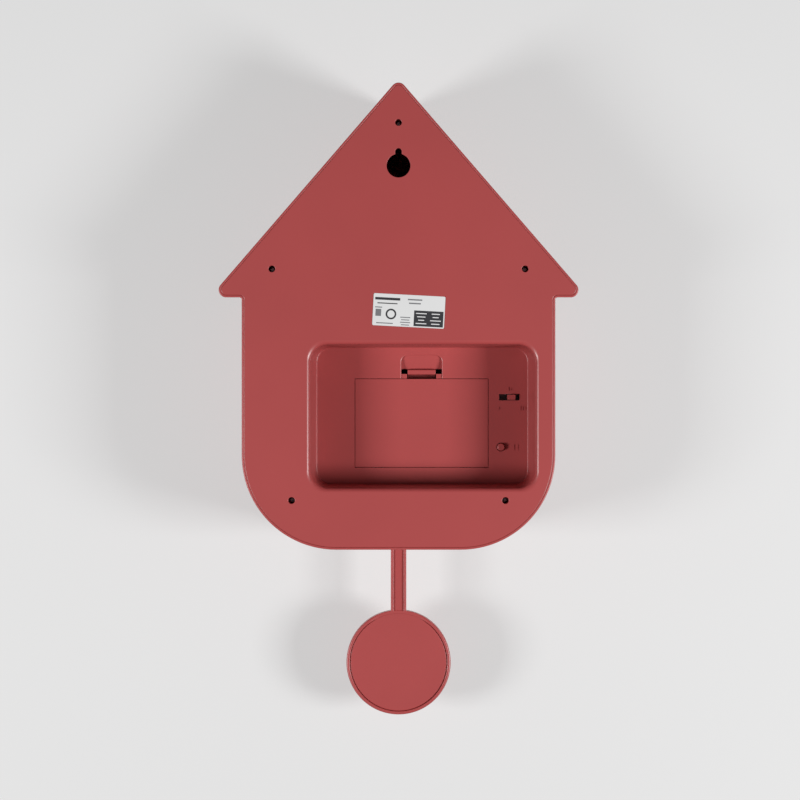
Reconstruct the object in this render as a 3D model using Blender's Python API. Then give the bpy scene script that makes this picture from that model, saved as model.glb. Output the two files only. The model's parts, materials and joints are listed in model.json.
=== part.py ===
"""House-shaped cuckoo clock with a hanging pendulum, as separate parts.

Sizes are in millimetres and become metres where a mesh is made. A point is (x, depth, z): x to the
right seen from the front, depth from the back plane towards the front (world -Y), z up. The origin is
the centre of the keyhole slot's round end on the back plane, where the wall screw carries the clock.
"""
import math

import bmesh
import bpy
from mathutils import Matrix, Vector

MM = 0.001

# Clearances
GAP = 0.3               # between faces that rest on each other
SEAM = 0.3              # between the shell's rim and the back cover
SLIT = 0.35             # round a door in its opening
RUNNING = 0.15          # radial, round a pin or shaft that turns
LOOSE = 0.2             # radial, round a screw's shank

SMALL_SIDES = 12        # sides of small rounds, such as pilot holes

# Housing outline
APEX_Z = 43.6           # sharp apex above the keyhole slot's end
ROOF_ANGLE = math.radians(40.79)    # roof edge from the vertical
WALL_WIDTH = 187.7
EAVES_REACH = 19.2      # eaves' sharp tips beyond the walls, which the fillets shorten
WALL_HEIGHT = 151.0     # eaves' underside to the bottom
EDGE_RADIUS = 4.5       # apex and eaves
BOTTOM_RADIUS = 56.5
SHELL_WALL = 2.0
SHELL_RIM = 1.2         # thinner rim round the back cover, which leaves a ledge behind it
SHELL_DRAFT = math.radians(3.0)     # walls lean inwards towards the front
PANEL = 2.4             # front panel
FRONT_ROUND = 2.5       # round of the shell's front edge
COVER = 2.4             # back cover

# Recess in the back cover
RECESS_DEPTH = 37.0
RECESS_SIDE = 9.2       # recess lip to the wall it lies nearer to, at negative x
LIP_SIDE = 29.25        # recess lip beyond the battery door, at each side
LIP_ABOVE = 23.0        # recess lip above the battery door
LIP_BELOW = 14.1
LIP_ROUND = 2.6
LIP_RADIUS = 11.0
DRAFT_X = 5.45          # lip to floor, at each side
DRAFT_Z = 4.05
FLOOR_RADIUS = 9.0
RECESS_ABOVE_BOTTOM = 34.2      # lip's lower edge above the housing's bottom

# Battery compartment: three C cells side by side, standing upright
CELL_COUNT = 3
CELL_DIAMETER = 26.2
CELL_LENGTH = 50.0
CELL_NUB_RADIUS = 3.3
CELL_NUB = 1.5
CELL_SPACE = 0.4        # between cells
CELL_ROOM = 0.6         # cell to door
CONTACT_ROOM = 3.2      # cell end to contact plate, which a spring fills
CONTACT = 0.4
TUB_WALL = 1.6
TUB_MARGIN = 0.6        # inner wall beyond the outer cells
TUB_ABOVE = 2.2         # cells' top below the door's top edge, less the contact room
DOOR = 2.2
DOOR_TAB = 3.0
DOOR_TAB_WIDTH = 9.0
DOOR_TAB_THICK = 1.4

# Door latch and its finger well
LATCH_WIDTH = 17.2
WELL_WIDTH = 24.9
WELL_TOP = 14.6         # slope's start above the door's edge
WELL_LIP = 6.1          # slope's end above the door's edge
WELL_FALL = 3.5
WELL_BACKING = 1.8
LATCH_LEG = 1.6
LATCH_HEAD = 3.1
LATCH_HEAD_THICK = 1.8
LATCH_SUNK = 0.8
LATCH_REACH = 9.7
LATCH_SLOT = 3.1
LATCH_NIB = 1.2

# Controls in the recess
SWITCH_BESIDE = 13.15   # beyond the door's side edge
SWITCH_BELOW = 11.2     # below the door's top edge
SWITCH_SLOT = (12.6, 3.9)
SWITCH_KNOB = (4.9, 3.1)
SWITCH_KNOB_OFFSET = -1.2
SWITCH_BODY = (15.0, 7.0)
KNOB_PROUD = 2.4
BUTTON_BESIDE = 7.95
BUTTON_BELOW = 41.8
BUTTON_RADIUS = 2.3
BUTTON_HOLE = 2.75
BUTTON_PROUD = 2.6
BUTTON_TRAVEL = 1.5
BUTTON_FLANGE = 3.5
TACT_SIDE = 6.0
BOARD_SPACE = 6.6       # recess floor's back to the board
BOARD = 1.6
BOARD_BESIDE = 15.15
BOARD_WIDTH = 23.0
BOARD_POST_BESIDE = 23.15

# Screws
SCREW_HEAD = 1.85
SCREW_HEAD_THICK = 1.6
SCREW_SHANK = 1.0
SCREW_LENGTH = 12.0
SCREW_SINK = 8.1        # head below the back cover
WELL_HOLE = 2.0
WELL_TUBE = 3.75
WELL_FLOOR = 2.0
BOSS_RADIUS = 3.25
TOP_SCREW_Z = 17.3
EAVE_SCREW_INSIDE = 37.25       # from the eaves' sharp tip
EAVE_SCREW_ABOVE = 17.1         # above the eaves' underside
FOOT_SCREW_INSIDE = 29.85       # from the wall's outside
FOOT_SCREW_ABOVE = 29.5         # above the housing's bottom
BOARD_SCREW_LENGTH = 5.0
BOARD_SCREW_SHANK = 0.8
BOARD_POST_RADIUS = 2.4

# Keyhole
KEYHOLE_DROP = 8.5
KEYHOLE_RADIUS = 7.1
KEYHOLE_SLOT = 3.9

# Rating label
LABEL_SIZE = (43.0, 19.2)
LABEL_X = -6.2
LABEL_ABOVE_RECESS = 17.4
LABEL_TURN = math.radians(3.0)
LABEL = 0.12
LABEL_GLUE = 0.1
LABEL_SUNK = 0.05       # label's face below the back plane, so that the clock lies flat on the wall

# Dial, hands and movement
DIAL_RADIUS = 58.0
DIAL = 1.0
DIAL_ABOVE_BOTTOM = 88.4
MARK_LENGTH = 7.0
MARK_WIDTH = 2.4
MARK_INSET = 4.0
MARK_RAISED = 0.3
MOVEMENT_SIDE = 56.0
MOVEMENT_DEPTH = 14.7
MOVEMENT_WALL = 1.5
MOVEMENT_LID = 1.6
BUSH_RADIUS = 4.0
BUSH_BORE = 3.1
NUT_RADIUS = 6.5
NUT = 2.0
PIPE_RADIUS = 2.9
ARBOR_RADIUS = 1.55
HAND = 0.8
HAND_SPACE = 0.8
HUB_RADIUS = 5.0
MINUTE_HAND = 46.0
HOUR_HAND = 31.0
MINUTE_TURN = math.radians(60.0)    # ten minutes past
HOUR_TURN = math.radians(305.0)     # ten o'clock and a sixth
GEAR_MODULE = 0.6
CANNON_TEETH = 10
MINUTE_TEETH = 30
MINUTE_PINION_TEETH = 8
HOUR_TEETH = 32
GEAR_FACE = 2.0
POST_RADIUS = 0.7

# Bird, its door and its drive
BIRD_DOOR_WIDTH = 34.0
BIRD_DOOR_HEIGHT = 38.0
BIRD_DOOR_BELOW_APEX = 63.6     # door opening's top below the sharp apex
BIRD_DOOR = 2.0
BIRD_DOOR_SUNK = 0.2
HINGE_PIN = 0.5
HINGE_PIN_END = 3.0
BIRD_TRAVEL = 30.0
BIRD_BEHIND = 5.3               # beak's tip to the door
BEAK_LENGTH = 4.6
BIRD_LENGTH = 33.5
CARRIAGE_WIDTH = 14.0
CARRIAGE_THICK = 4.0
CARRIAGE_GUIDED = 16.0          # length that stays in the guide when the bird is out
CARRIAGE_ABOVE_SILL = 1.5
RACK_MODULE = 0.8
PINION_TEETH = 10
GUIDE_FLOOR = 2.8
GUIDE_WALL = 1.5
GUIDE_FLANGE = 2.0
GUIDE_SCREW_X = 23.0
GUIDE_SCREW_BELOW = 4.5         # below the guide's underside
GUIDE_BOSS = 6.0
MOTOR_SIZE = (20.0, 24.0, 24.0)

# Pendulum
ROD_WIDTH = 9.75
ROD_THICK = 4.0
ROD_RIM = 1.75
ROD_CHANNEL = 1.2
ROD_BEHIND_PANEL = 29.5         # rod's back face to the front panel
BOB_RADIUS = 32.5
BOB_THICK = 9.0
BOB_RIM = 2.1
BOB_SINK = 0.9
BOB_COVER = 1.5
BOB_FRONT = 2.0
BOB_ROUND = 1.5
BOB_BEHIND_ROD = 0.2
BOB_BELOW_BOTTOM = 73.9         # bob's centre below the housing
PIVOT_ABOVE_BOTTOM = 36.4
PEG_DROP = 14.0                 # rod's peg below the pivot
PEG_RADIUS = 1.5
ROD_END = 5.0                   # rod's end above the peg
PIN_RADIUS = 1.0
PIN_HEAD = 2.0
HANGER = 2.0
HANGER_WIDTH = 7.0
HANGER_REACH = 24.0
MAGNET_RADIUS = 4.0
MAGNET = 2.0
SWING = math.radians(8.0)
DRIVE_SIZE = (40.0, 32.0)       # width and height
WEIGHT_INSIDE = 5.6             # weight's edge to the cup's inner wall
WEIGHT = 3.0

SPEAKER_ABOVE_BOTTOM = 74.0
SPEAKER_RADIUS = 20.0
SPEAKER_DEPTH = 13.0

# Places that follow from the sizes
ROOF_WIDTH = WALL_WIDTH + 2 * EAVES_REACH
GABLE_HEIGHT = ROOF_WIDTH / 2 / math.tan(ROOF_ANGLE)
EAVES_Z = APEX_Z - GABLE_HEIGHT
BOTTOM_Z = EAVES_Z - WALL_HEIGHT

CELL_PITCH = CELL_DIAMETER + CELL_SPACE
TUB_INNER_WIDTH = CELL_COUNT * CELL_PITCH - CELL_SPACE + 2 * TUB_MARGIN
DOOR_WIDTH = TUB_INNER_WIDTH + 2 * 0.5
DOOR_HEIGHT = CELL_LENGTH + CONTACT_ROOM + CONTACT + 0.6

FLOOR_BACK = RECESS_DEPTH + COVER
DOOR_BACK = RECESS_DEPTH + DOOR
CELL_DEPTH = DOOR_BACK + CELL_ROOM + CELL_DIAMETER / 2
TUB_FLOOR = CELL_DEPTH + CELL_DIAMETER / 2 + GAP
TUB_BACK = TUB_FLOOR + TUB_WALL
MOVEMENT_BACK = TUB_BACK + 2 * GAP
MOVEMENT_FRONT = MOVEMENT_BACK + MOVEMENT_DEPTH
PANEL_BACK = MOVEMENT_FRONT + GAP
BODY_DEPTH = PANEL_BACK + PANEL
FRONT_INSET = BODY_DEPTH * math.tan(SHELL_DRAFT)

RECESS_WIDTH = DOOR_WIDTH + 2 * LIP_SIDE
RECESS_HEIGHT = DOOR_HEIGHT + LIP_ABOVE + LIP_BELOW
RECESS_X = RECESS_WIDTH / 2 + RECESS_SIDE - WALL_WIDTH / 2
RECESS_LOW = BOTTOM_Z + RECESS_ABOVE_BOTTOM
RECESS_Z = RECESS_LOW + RECESS_HEIGHT / 2
DOOR_X = RECESS_X + 0.4
DOOR_SIDE = DOOR_X - DOOR_WIDTH / 2
DOOR_LOW = RECESS_LOW + LIP_BELOW
DOOR_TOP = DOOR_LOW + DOOR_HEIGHT

CELL_TOP = DOOR_TOP - TUB_ABOVE - CONTACT_ROOM + 1.2
CELL_LOW = CELL_TOP - CELL_LENGTH
TUB_TOP = CELL_TOP + CONTACT_ROOM + CONTACT + GAP
TUB_LOW = CELL_LOW - CONTACT_ROOM - CONTACT - GAP

WELL_HIGH = DOOR_TOP + WELL_TOP
WELL_LOW = DOOR_TOP + WELL_LIP
LATCH_LOW = DOOR_TOP + LATCH_SLOT - SLIT
LATCH_TOP = LATCH_LOW + LATCH_HEAD
LATCH_PIVOT = (DOOR_X, RECESS_DEPTH + LATCH_REACH, LATCH_LOW + LATCH_LEG / 2)

SWITCH_X = DOOR_SIDE - SWITCH_BESIDE
SWITCH_Z = DOOR_TOP - SWITCH_BELOW
BUTTON_X = DOOR_SIDE - BUTTON_BESIDE
BUTTON_Z = DOOR_TOP - BUTTON_BELOW
BOARD_X = DOOR_SIDE - BOARD_BESIDE
BOARD_POST_X = DOOR_SIDE - BOARD_POST_BESIDE
BOARD_BACK = FLOOR_BACK + BOARD_SPACE
BOARD_POSTS = [(BOARD_POST_X, DOOR_TOP - 4.0), (BOARD_POST_X, DOOR_LOW + 3.0)]

EAVE_SCREW_X = ROOF_WIDTH / 2 - EAVE_SCREW_INSIDE
FOOT_SCREW_X = WALL_WIDTH / 2 - FOOT_SCREW_INSIDE
SCREW_PLACES = [
    (0.0, TOP_SCREW_Z),
    (EAVE_SCREW_X, EAVES_Z + EAVE_SCREW_ABOVE),
    (-EAVE_SCREW_X, EAVES_Z + EAVE_SCREW_ABOVE),
    (FOOT_SCREW_X, BOTTOM_Z + FOOT_SCREW_ABOVE),
    (-FOOT_SCREW_X, BOTTOM_Z + FOOT_SCREW_ABOVE),
]
WELL_END = SCREW_SINK + SCREW_HEAD_THICK + GAP + WELL_FLOOR

DIAL_Z = BOTTOM_Z + DIAL_ABOVE_BOTTOM
DIAL_BACK = BODY_DEPTH + GAP
DIAL_FRONT = DIAL_BACK + DIAL
NUT_BACK = DIAL_FRONT + GAP
BUSH_FRONT = NUT_BACK + NUT
HOUR_BACK = BUSH_FRONT + HAND_SPACE
MINUTE_BACK = HOUR_BACK + HAND + HAND_SPACE
GEAR_CENTRES = GEAR_MODULE * (CANNON_TEETH + MINUTE_TEETH) / 2
CANNON_BACK = MOVEMENT_BACK + 5.5
HOUR_GEAR_BACK = CANNON_BACK + GEAR_FACE + 0.8

SILL_Z = APEX_Z - BIRD_DOOR_BELOW_APEX - BIRD_DOOR_HEIGHT
BIRD_DOOR_FRONT = BODY_DEPTH - BIRD_DOOR_SUNK
BIRD_DOOR_BACK = BIRD_DOOR_FRONT - BIRD_DOOR
BIRD_DOOR_AXIS = (
    -BIRD_DOOR_WIDTH / 2 + SLIT + BIRD_DOOR / 2,
    BIRD_DOOR_FRONT - BIRD_DOOR / 2,
    SILL_Z + BIRD_DOOR_HEIGHT / 2,
)
BEAK_TIP = BIRD_DOOR_BACK - BIRD_BEHIND
BIRD_FRONT = BEAK_TIP - BEAK_LENGTH - GAP
CARRIAGE_LOW = SILL_Z + CARRIAGE_ABOVE_SILL
CARRIAGE_TOP = CARRIAGE_LOW + CARRIAGE_THICK
CARRIAGE_FRONT = BEAK_TIP - 8.5
CARRIAGE_BACK = CARRIAGE_FRONT - BIRD_TRAVEL - CARRIAGE_GUIDED
RACK_LINE = CARRIAGE_WIDTH / 2 + RACK_MODULE
PINION_RADIUS = RACK_MODULE * PINION_TEETH / 2
PINION_PLACE = (RACK_LINE + PINION_RADIUS, CARRIAGE_FRONT - 10.0, CARRIAGE_LOW + CARRIAGE_THICK / 2)
GUIDE_LOW = CARRIAGE_LOW - GAP - GUIDE_FLOOR
GUIDE_FRONT = PANEL_BACK - GUIDE_BOSS - GAP

LABEL_Z = RECESS_LOW + RECESS_HEIGHT + LABEL_ABOVE_RECESS
SPEAKER_X = (MOVEMENT_SIDE / 2 + WALL_WIDTH / 2 - SHELL_WALL - FRONT_INSET) / 2

ROD_BACK = PANEL_BACK - ROD_BEHIND_PANEL
PIVOT_Z = BOTTOM_Z + PIVOT_ABOVE_BOTTOM
PEG_Z = PIVOT_Z - PEG_DROP
BOB_Z = BOTTOM_Z - BOB_BELOW_BOTTOM
HANGER_BACK = ROD_BACK + ROD_THICK + 1.0
MAGNET_BACK = HANGER_BACK + HANGER + GAP
DRIVE_BACK = MAGNET_BACK + MAGNET + 0.7


# Outlines, as lists of (x, z)

def fillet(before, corner, after, radius, steps):
    """Points of the arc that rounds a corner, from the side of `before` to the side of `after`."""
    here = Vector(corner)
    back = (Vector(before) - here).normalized()
    ahead = (Vector(after) - here).normalized()
    half = back.angle(ahead) / 2
    start = here + back * radius / math.tan(half)
    middle = here + (back + ahead).normalized() * radius / math.sin(half)
    sweep = math.pi - 2 * half
    turn = 1 if back.x * ahead.y - back.y * ahead.x < 0 else -1
    arm = start - middle
    points = []
    for step in range(steps + 1):
        angle = turn * sweep * step / steps
        c, s = math.cos(angle), math.sin(angle)
        points.append((middle.x + c * arm.x - s * arm.y, middle.y + s * arm.x + c * arm.y))
    return points


def rounded(corners):
    """Outline through (x, z, radius, arc steps) corners; a radius of 0 stays sharp."""
    points = []
    for index, (x, z, radius, steps) in enumerate(corners):
        if radius == 0:
            points.append((x, z))
            continue
        before = corners[index - 1][:2]
        after = corners[(index + 1) % len(corners)][:2]
        points += fillet(before, (x, z), after, radius, steps)
    return points


def house(inset=0.0):
    """The housing's outline, moved in by `inset`, anticlockwise with x right and z up."""
    wall = WALL_WIDTH / 2 - inset
    eaves = EAVES_Z + inset
    apex = APEX_Z - inset / math.sin(ROOF_ANGLE)
    tip = (apex - eaves) * math.tan(ROOF_ANGLE)
    edge = max(EDGE_RADIUS - inset, 0.5)
    foot = BOTTOM_RADIUS - inset
    right = [(wall, BOTTOM_Z + inset, foot, 10), (wall, eaves, 0, 0), (tip, eaves, edge, 4)]
    left = [(-x, z, radius, steps) for x, z, radius, steps in reversed(right)]
    return rounded(right + [(0.0, apex, edge, 4)] + left)


def rectangle(x, z, width, height, radius=0.0, steps=5):
    """Rectangle round a centre, with rounded corners if a radius is given."""
    w, h = width / 2, height / 2
    places = [(x - w, z - h), (x + w, z - h), (x + w, z + h), (x - w, z + h)]
    return rounded([(px, pz, radius, steps) for px, pz in places])


def circle(x, z, radius, sides=32):
    angles = [2 * math.pi * n / sides for n in range(sides)]
    return [(x + radius * math.cos(a), z + radius * math.sin(a)) for a in angles]


def gear(x, z, teeth, module, turn=0.0):
    """Gear outline with slim tapered teeth; at a turn of 0 one tooth points along +x."""
    pitch = module * teeth / 2
    step = 2 * math.pi / teeth
    root, tip = pitch - 1.1 * module, pitch + 0.75 * module
    shape = [(root, -0.26), (tip, -0.09), (tip, 0.09), (root, 0.26)]
    points = []
    for tooth in range(teeth):
        for radius, share in shape:
            angle = turn + step * (tooth + share)
            points.append((x + radius * math.cos(angle), z + radius * math.sin(angle)))
    return points


# Solids

def world(point):
    x, depth, z = point
    return Vector((x, -depth, z)) * MM


def solid(name, points, faces):
    """Closed mesh from (x, depth, z) points, with its faces turned outwards."""
    mesh = bpy.data.meshes.new(name)
    mesh.from_pydata([world(point) for point in points], [], faces)
    shape = bmesh.new()
    shape.from_mesh(mesh)
    bmesh.ops.recalc_face_normals(shape, faces=shape.faces)
    shape.to_mesh(mesh)
    shape.free()
    thing = bpy.data.objects.new(name, mesh)
    bpy.context.collection.objects.link(thing)
    return thing


def loft(name, rings):
    """Skin over rings of equally many points, capped at both ends."""
    count = len(rings[0])
    points = [point for ring in rings for point in ring]
    faces = [list(range(count)), list(range(len(points) - count, len(points)))]
    for level in range(len(rings) - 1):
        low = level * count
        for n in range(count):
            m = (n + 1) % count
            faces.append((low + n, low + m, low + count + m, low + count + n))
    return solid(name, points, faces)


def plate(name, outline, back, front):
    """An outline in x and z, extruded through depth."""
    return loft(name, [[(x, depth, z) for x, z in outline] for depth in (back, front)])


def bar(name, section, left, right):
    """A section of (depth, z) points, extruded along x."""
    return loft(name, [[(x, depth, z) for depth, z in section] for x in (left, right)])


def column(name, section, low, high):
    """A section of (x, depth) points, extruded along z."""
    return loft(name, [[(x, depth, z) for x, depth in section] for z in (low, high)])


def block(name, x, depth, z):
    """Box from its (low, high) ranges."""
    return plate(name, [(x[0], z[0]), (x[1], z[0]), (x[1], z[1]), (x[0], z[1])], *depth)


def turned(name, profile, centre, axis="depth", sides=24):
    """Profile of (radius, place) points turned about an axis through `centre`, both ends on the axis."""
    points, rings = [], []
    for radius, place in profile:
        ring = []
        for n in range(sides if radius > 0 else 1):
            angle = 2 * math.pi * n / sides
            a, b = radius * math.cos(angle), radius * math.sin(angle)
            offset = {"depth": (a, place, b), "x": (place, a, b), "z": (a, b, place)}[axis]
            ring.append(len(points))
            points.append(tuple(c + o for c, o in zip(centre, offset)))
        rings.append(ring)
    faces = []
    for one, two in zip(rings, rings[1:]):
        for n in range(sides):
            m = (n + 1) % sides
            quad = [one[n % len(one)], one[m % len(one)], two[m % len(two)], two[n % len(two)]]
            face = list(dict.fromkeys(quad))
            if len(face) > 2:
                faces.append(face)
    return solid(name, points, faces)


def rod(name, centre, radius, start, end, axis="depth", sides=20):
    """Plain cylinder between two places along an axis."""
    profile = [(0, start), (radius, start), (radius, end), (0, end)]
    return turned(name, profile, centre, axis, sides)


def spring(name, centre, radii, length, wire, turns, sides=4, steps=8):
    """Conical spring along z from `centre`, as one closed tube."""
    rings = []
    count = int(turns * steps)
    for n in range(count + 1):
        share = n / count
        angle = 2 * math.pi * turns * share
        radius = radii[0] + (radii[1] - radii[0]) * share
        ring = []
        for side in range(sides):
            round_wire = 2 * math.pi * side / sides
            reach = radius + wire * math.cos(round_wire)
            lift = length * share + wire * math.sin(round_wire)
            ring.append((centre[0] + reach * math.cos(angle), centre[1] + reach * math.sin(angle),
                         centre[2] + lift))
        rings.append(ring)
    return loft(name, rings)


def boolean(target, tools, operation):
    """Joins or cuts each tool in turn, and removes it."""
    for tool in tools:
        change = target.modifiers.new(operation, "BOOLEAN")
        change.operation = operation
        change.solver = "EXACT"
        change.object = tool
        graph = bpy.context.evaluated_depsgraph_get()
        mesh = bpy.data.meshes.new_from_object(target.evaluated_get(graph))
        target.modifiers.clear()
        target.data = mesh
        bpy.data.objects.remove(tool)
    return target


def join(target, *tools):
    return boolean(target, tools, "UNION")


def cut(target, *tools):
    return boolean(target, tools, "DIFFERENCE")


def axis_at(thing, point):
    """Puts the object's origin on its joint's axis."""
    place = world(point)
    thing.data.transform(Matrix.Translation(-place))
    thing.location = place
    return thing


MATERIALS = {
    "red_plastic": ((0.38, 0.07, 0.068), 0.5, 0.0),
    "dark_plastic": ((0.03, 0.03, 0.032), 0.5, 0.0),
    "grey_plastic": ((0.32, 0.32, 0.33), 0.5, 0.0),
    "white_plastic": ((0.75, 0.74, 0.72), 0.45, 0.0),
    "steel": ((0.6, 0.6, 0.62), 0.3, 1.0),
    "brass": ((0.72, 0.53, 0.25), 0.35, 1.0),
    "paper": ((0.8, 0.8, 0.79), 0.6, 0.0),
    "board": ((0.03, 0.16, 0.07), 0.45, 0.0),
    "cell": ((0.08, 0.08, 0.09), 0.35, 0.2),
    "yellow_plastic": ((0.8, 0.42, 0.05), 0.45, 0.0),
}


def finish(thing, kind, smooth=30.0):
    """Gives the object a material of its own and its shading."""
    colour, roughness, metallic = MATERIALS[kind]
    material = bpy.data.materials.new(thing.name)
    material.use_nodes = True
    shader = material.node_tree.nodes["Principled BSDF"]
    shader.inputs["Base Color"].default_value = (*colour, 1.0)
    shader.inputs["Roughness"].default_value = roughness
    shader.inputs["Metallic"].default_value = metallic
    thing.data.materials.clear()
    thing.data.materials.append(material)
    thing.data.shade_smooth()
    thing.data.set_sharp_from_angle(angle=math.radians(smooth))
    return thing


# Housing

def front_shell():
    """Deep house-shaped shell with its front panel, open at the back, with a ledge for the cover."""
    lean = math.tan(SHELL_DRAFT)
    rim = [(0.0, 0.0), (lean * (BODY_DEPTH - FRONT_ROUND), BODY_DEPTH - FRONT_ROUND)]
    for step in range(1, 4):
        angle = math.pi / 2 * step / 3
        depth = BODY_DEPTH - FRONT_ROUND * (1 - math.sin(angle))
        rim.append((lean * depth + FRONT_ROUND * (1 - math.cos(angle)), depth))
    shell = loft("front_shell", [[(x, depth, z) for x, z in house(inset)] for inset, depth in rim])
    ledge = COVER + GAP
    hollow = [(SHELL_RIM, -1.0), (SHELL_RIM, ledge), (SHELL_WALL + lean * ledge, ledge),
              (SHELL_WALL + lean * PANEL_BACK, PANEL_BACK)]
    cut(shell, loft("hollow", [[(x, depth, z) for x, z in house(inset)] for inset, depth in hollow]))
    bosses = [rod("boss", (x, 0, z), BOSS_RADIUS, WELL_END + GAP, PANEL_BACK + 1.0, sides=16)
              for x, z in SCREW_PLACES]
    bosses += [rod("boss", (x, 0, GUIDE_LOW - GUIDE_SCREW_BELOW), BOSS_RADIUS, GUIDE_FRONT + GAP,
                   PANEL_BACK + 1.0, sides=16) for x in (-GUIDE_SCREW_X, GUIDE_SCREW_X)]
    join(shell, *bosses)
    pilot = SCREW_SHANK + LOOSE
    cut(shell, *[rod("pilot", (x, 0, z), pilot, WELL_END, SCREW_SINK + SCREW_HEAD_THICK
                     + SCREW_LENGTH + 1.0, sides=SMALL_SIDES) for x, z in SCREW_PLACES])
    cut(shell, *[rod("pilot", (x, 0, GUIDE_LOW - GUIDE_SCREW_BELOW), pilot, GUIDE_FRONT, PANEL_BACK - 0.5,
                     sides=SMALL_SIDES) for x in (-GUIDE_SCREW_X, GUIDE_SCREW_X)])
    opening = rectangle(0, SILL_Z + BIRD_DOOR_HEIGHT / 2, BIRD_DOOR_WIDTH, BIRD_DOOR_HEIGHT)
    cut(shell, plate("opening", opening, PANEL_BACK - 1.0, BODY_DEPTH + 1.0))
    x, depth, _ = BIRD_DOOR_AXIS
    pin_ends = (SILL_Z - HINGE_PIN_END - GAP, SILL_Z + BIRD_DOOR_HEIGHT + HINGE_PIN_END + GAP)
    cut(shell, rod("pin_hole", (x, depth, 0), HINGE_PIN + RUNNING, *pin_ends, axis="z", sides=10))
    cut(shell, rod("bush_hole", (0, 0, DIAL_Z), BUSH_RADIUS + LOOSE, PANEL_BACK - 1, BODY_DEPTH + 1))
    reach = (PIVOT_Z - BOTTOM_Z) * math.tan(SWING) + ROD_WIDTH / 2 / math.cos(SWING) + 1.5
    slot = rectangle(0, 0, 2 * reach, ROD_THICK + 4.0, 2.0, 4)
    slot = [(x, ROD_BACK + ROD_THICK / 2 + depth) for x, depth in slot]
    cut(shell, column("rod_slot", slot, BOTTOM_Z - 1.0, BOTTOM_Z + FRONT_INSET + SHELL_WALL))
    return finish(shell, "red_plastic")


def recess_rings(wall=0.0):
    """Rings of the recess from the lip to the floor, grown by a wall's thickness."""
    rings = []
    for step in range(4):
        angle = math.pi / 2 * step / 3
        rings.append((LIP_ROUND * math.sin(angle), LIP_ROUND * math.sin(angle),
                      LIP_ROUND * (1 - math.cos(angle)), LIP_RADIUS))
    rings.append((DRAFT_X, DRAFT_Z, RECESS_DEPTH, FLOOR_RADIUS))
    shapes = []
    for side, height, depth, radius in rings:
        outline = rectangle(RECESS_X, RECESS_Z, RECESS_WIDTH + 2 * (wall - side),
                            RECESS_HEIGHT + 2 * (wall - height), radius + wall)
        shapes.append([(x, depth, z) for x, z in outline])
    return shapes


def keyhole():
    """Round hole with a slot that ends in a half circle round the origin."""
    half = KEYHOLE_SLOT / 2
    start = math.acos(half / KEYHOLE_RADIUS)
    points = []
    for n in range(25):
        angle = math.pi - start + (math.pi + 2 * start) * n / 24
        points.append((KEYHOLE_RADIUS * math.cos(angle),
                       KEYHOLE_RADIUS * math.sin(angle) - KEYHOLE_DROP))
    for n in range(9):
        angle = math.pi * n / 8
        points.append((half * math.cos(angle), half * math.sin(angle)))
    return points


def label_plate(name, grow, back, front):
    """Plate in the label's outline, turned as the label is."""
    width, height = LABEL_SIZE
    outline = rectangle(0, 0, width + 2 * grow, height + 2 * grow, 0.8 + grow, 3)
    thing = plate(name, outline, back, front)
    middle = world((LABEL_X, 0, LABEL_Z))
    thing.data.transform(Matrix.Translation(middle) @ Matrix.Rotation(-LABEL_TURN, 4, "Y"))
    return thing


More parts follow.
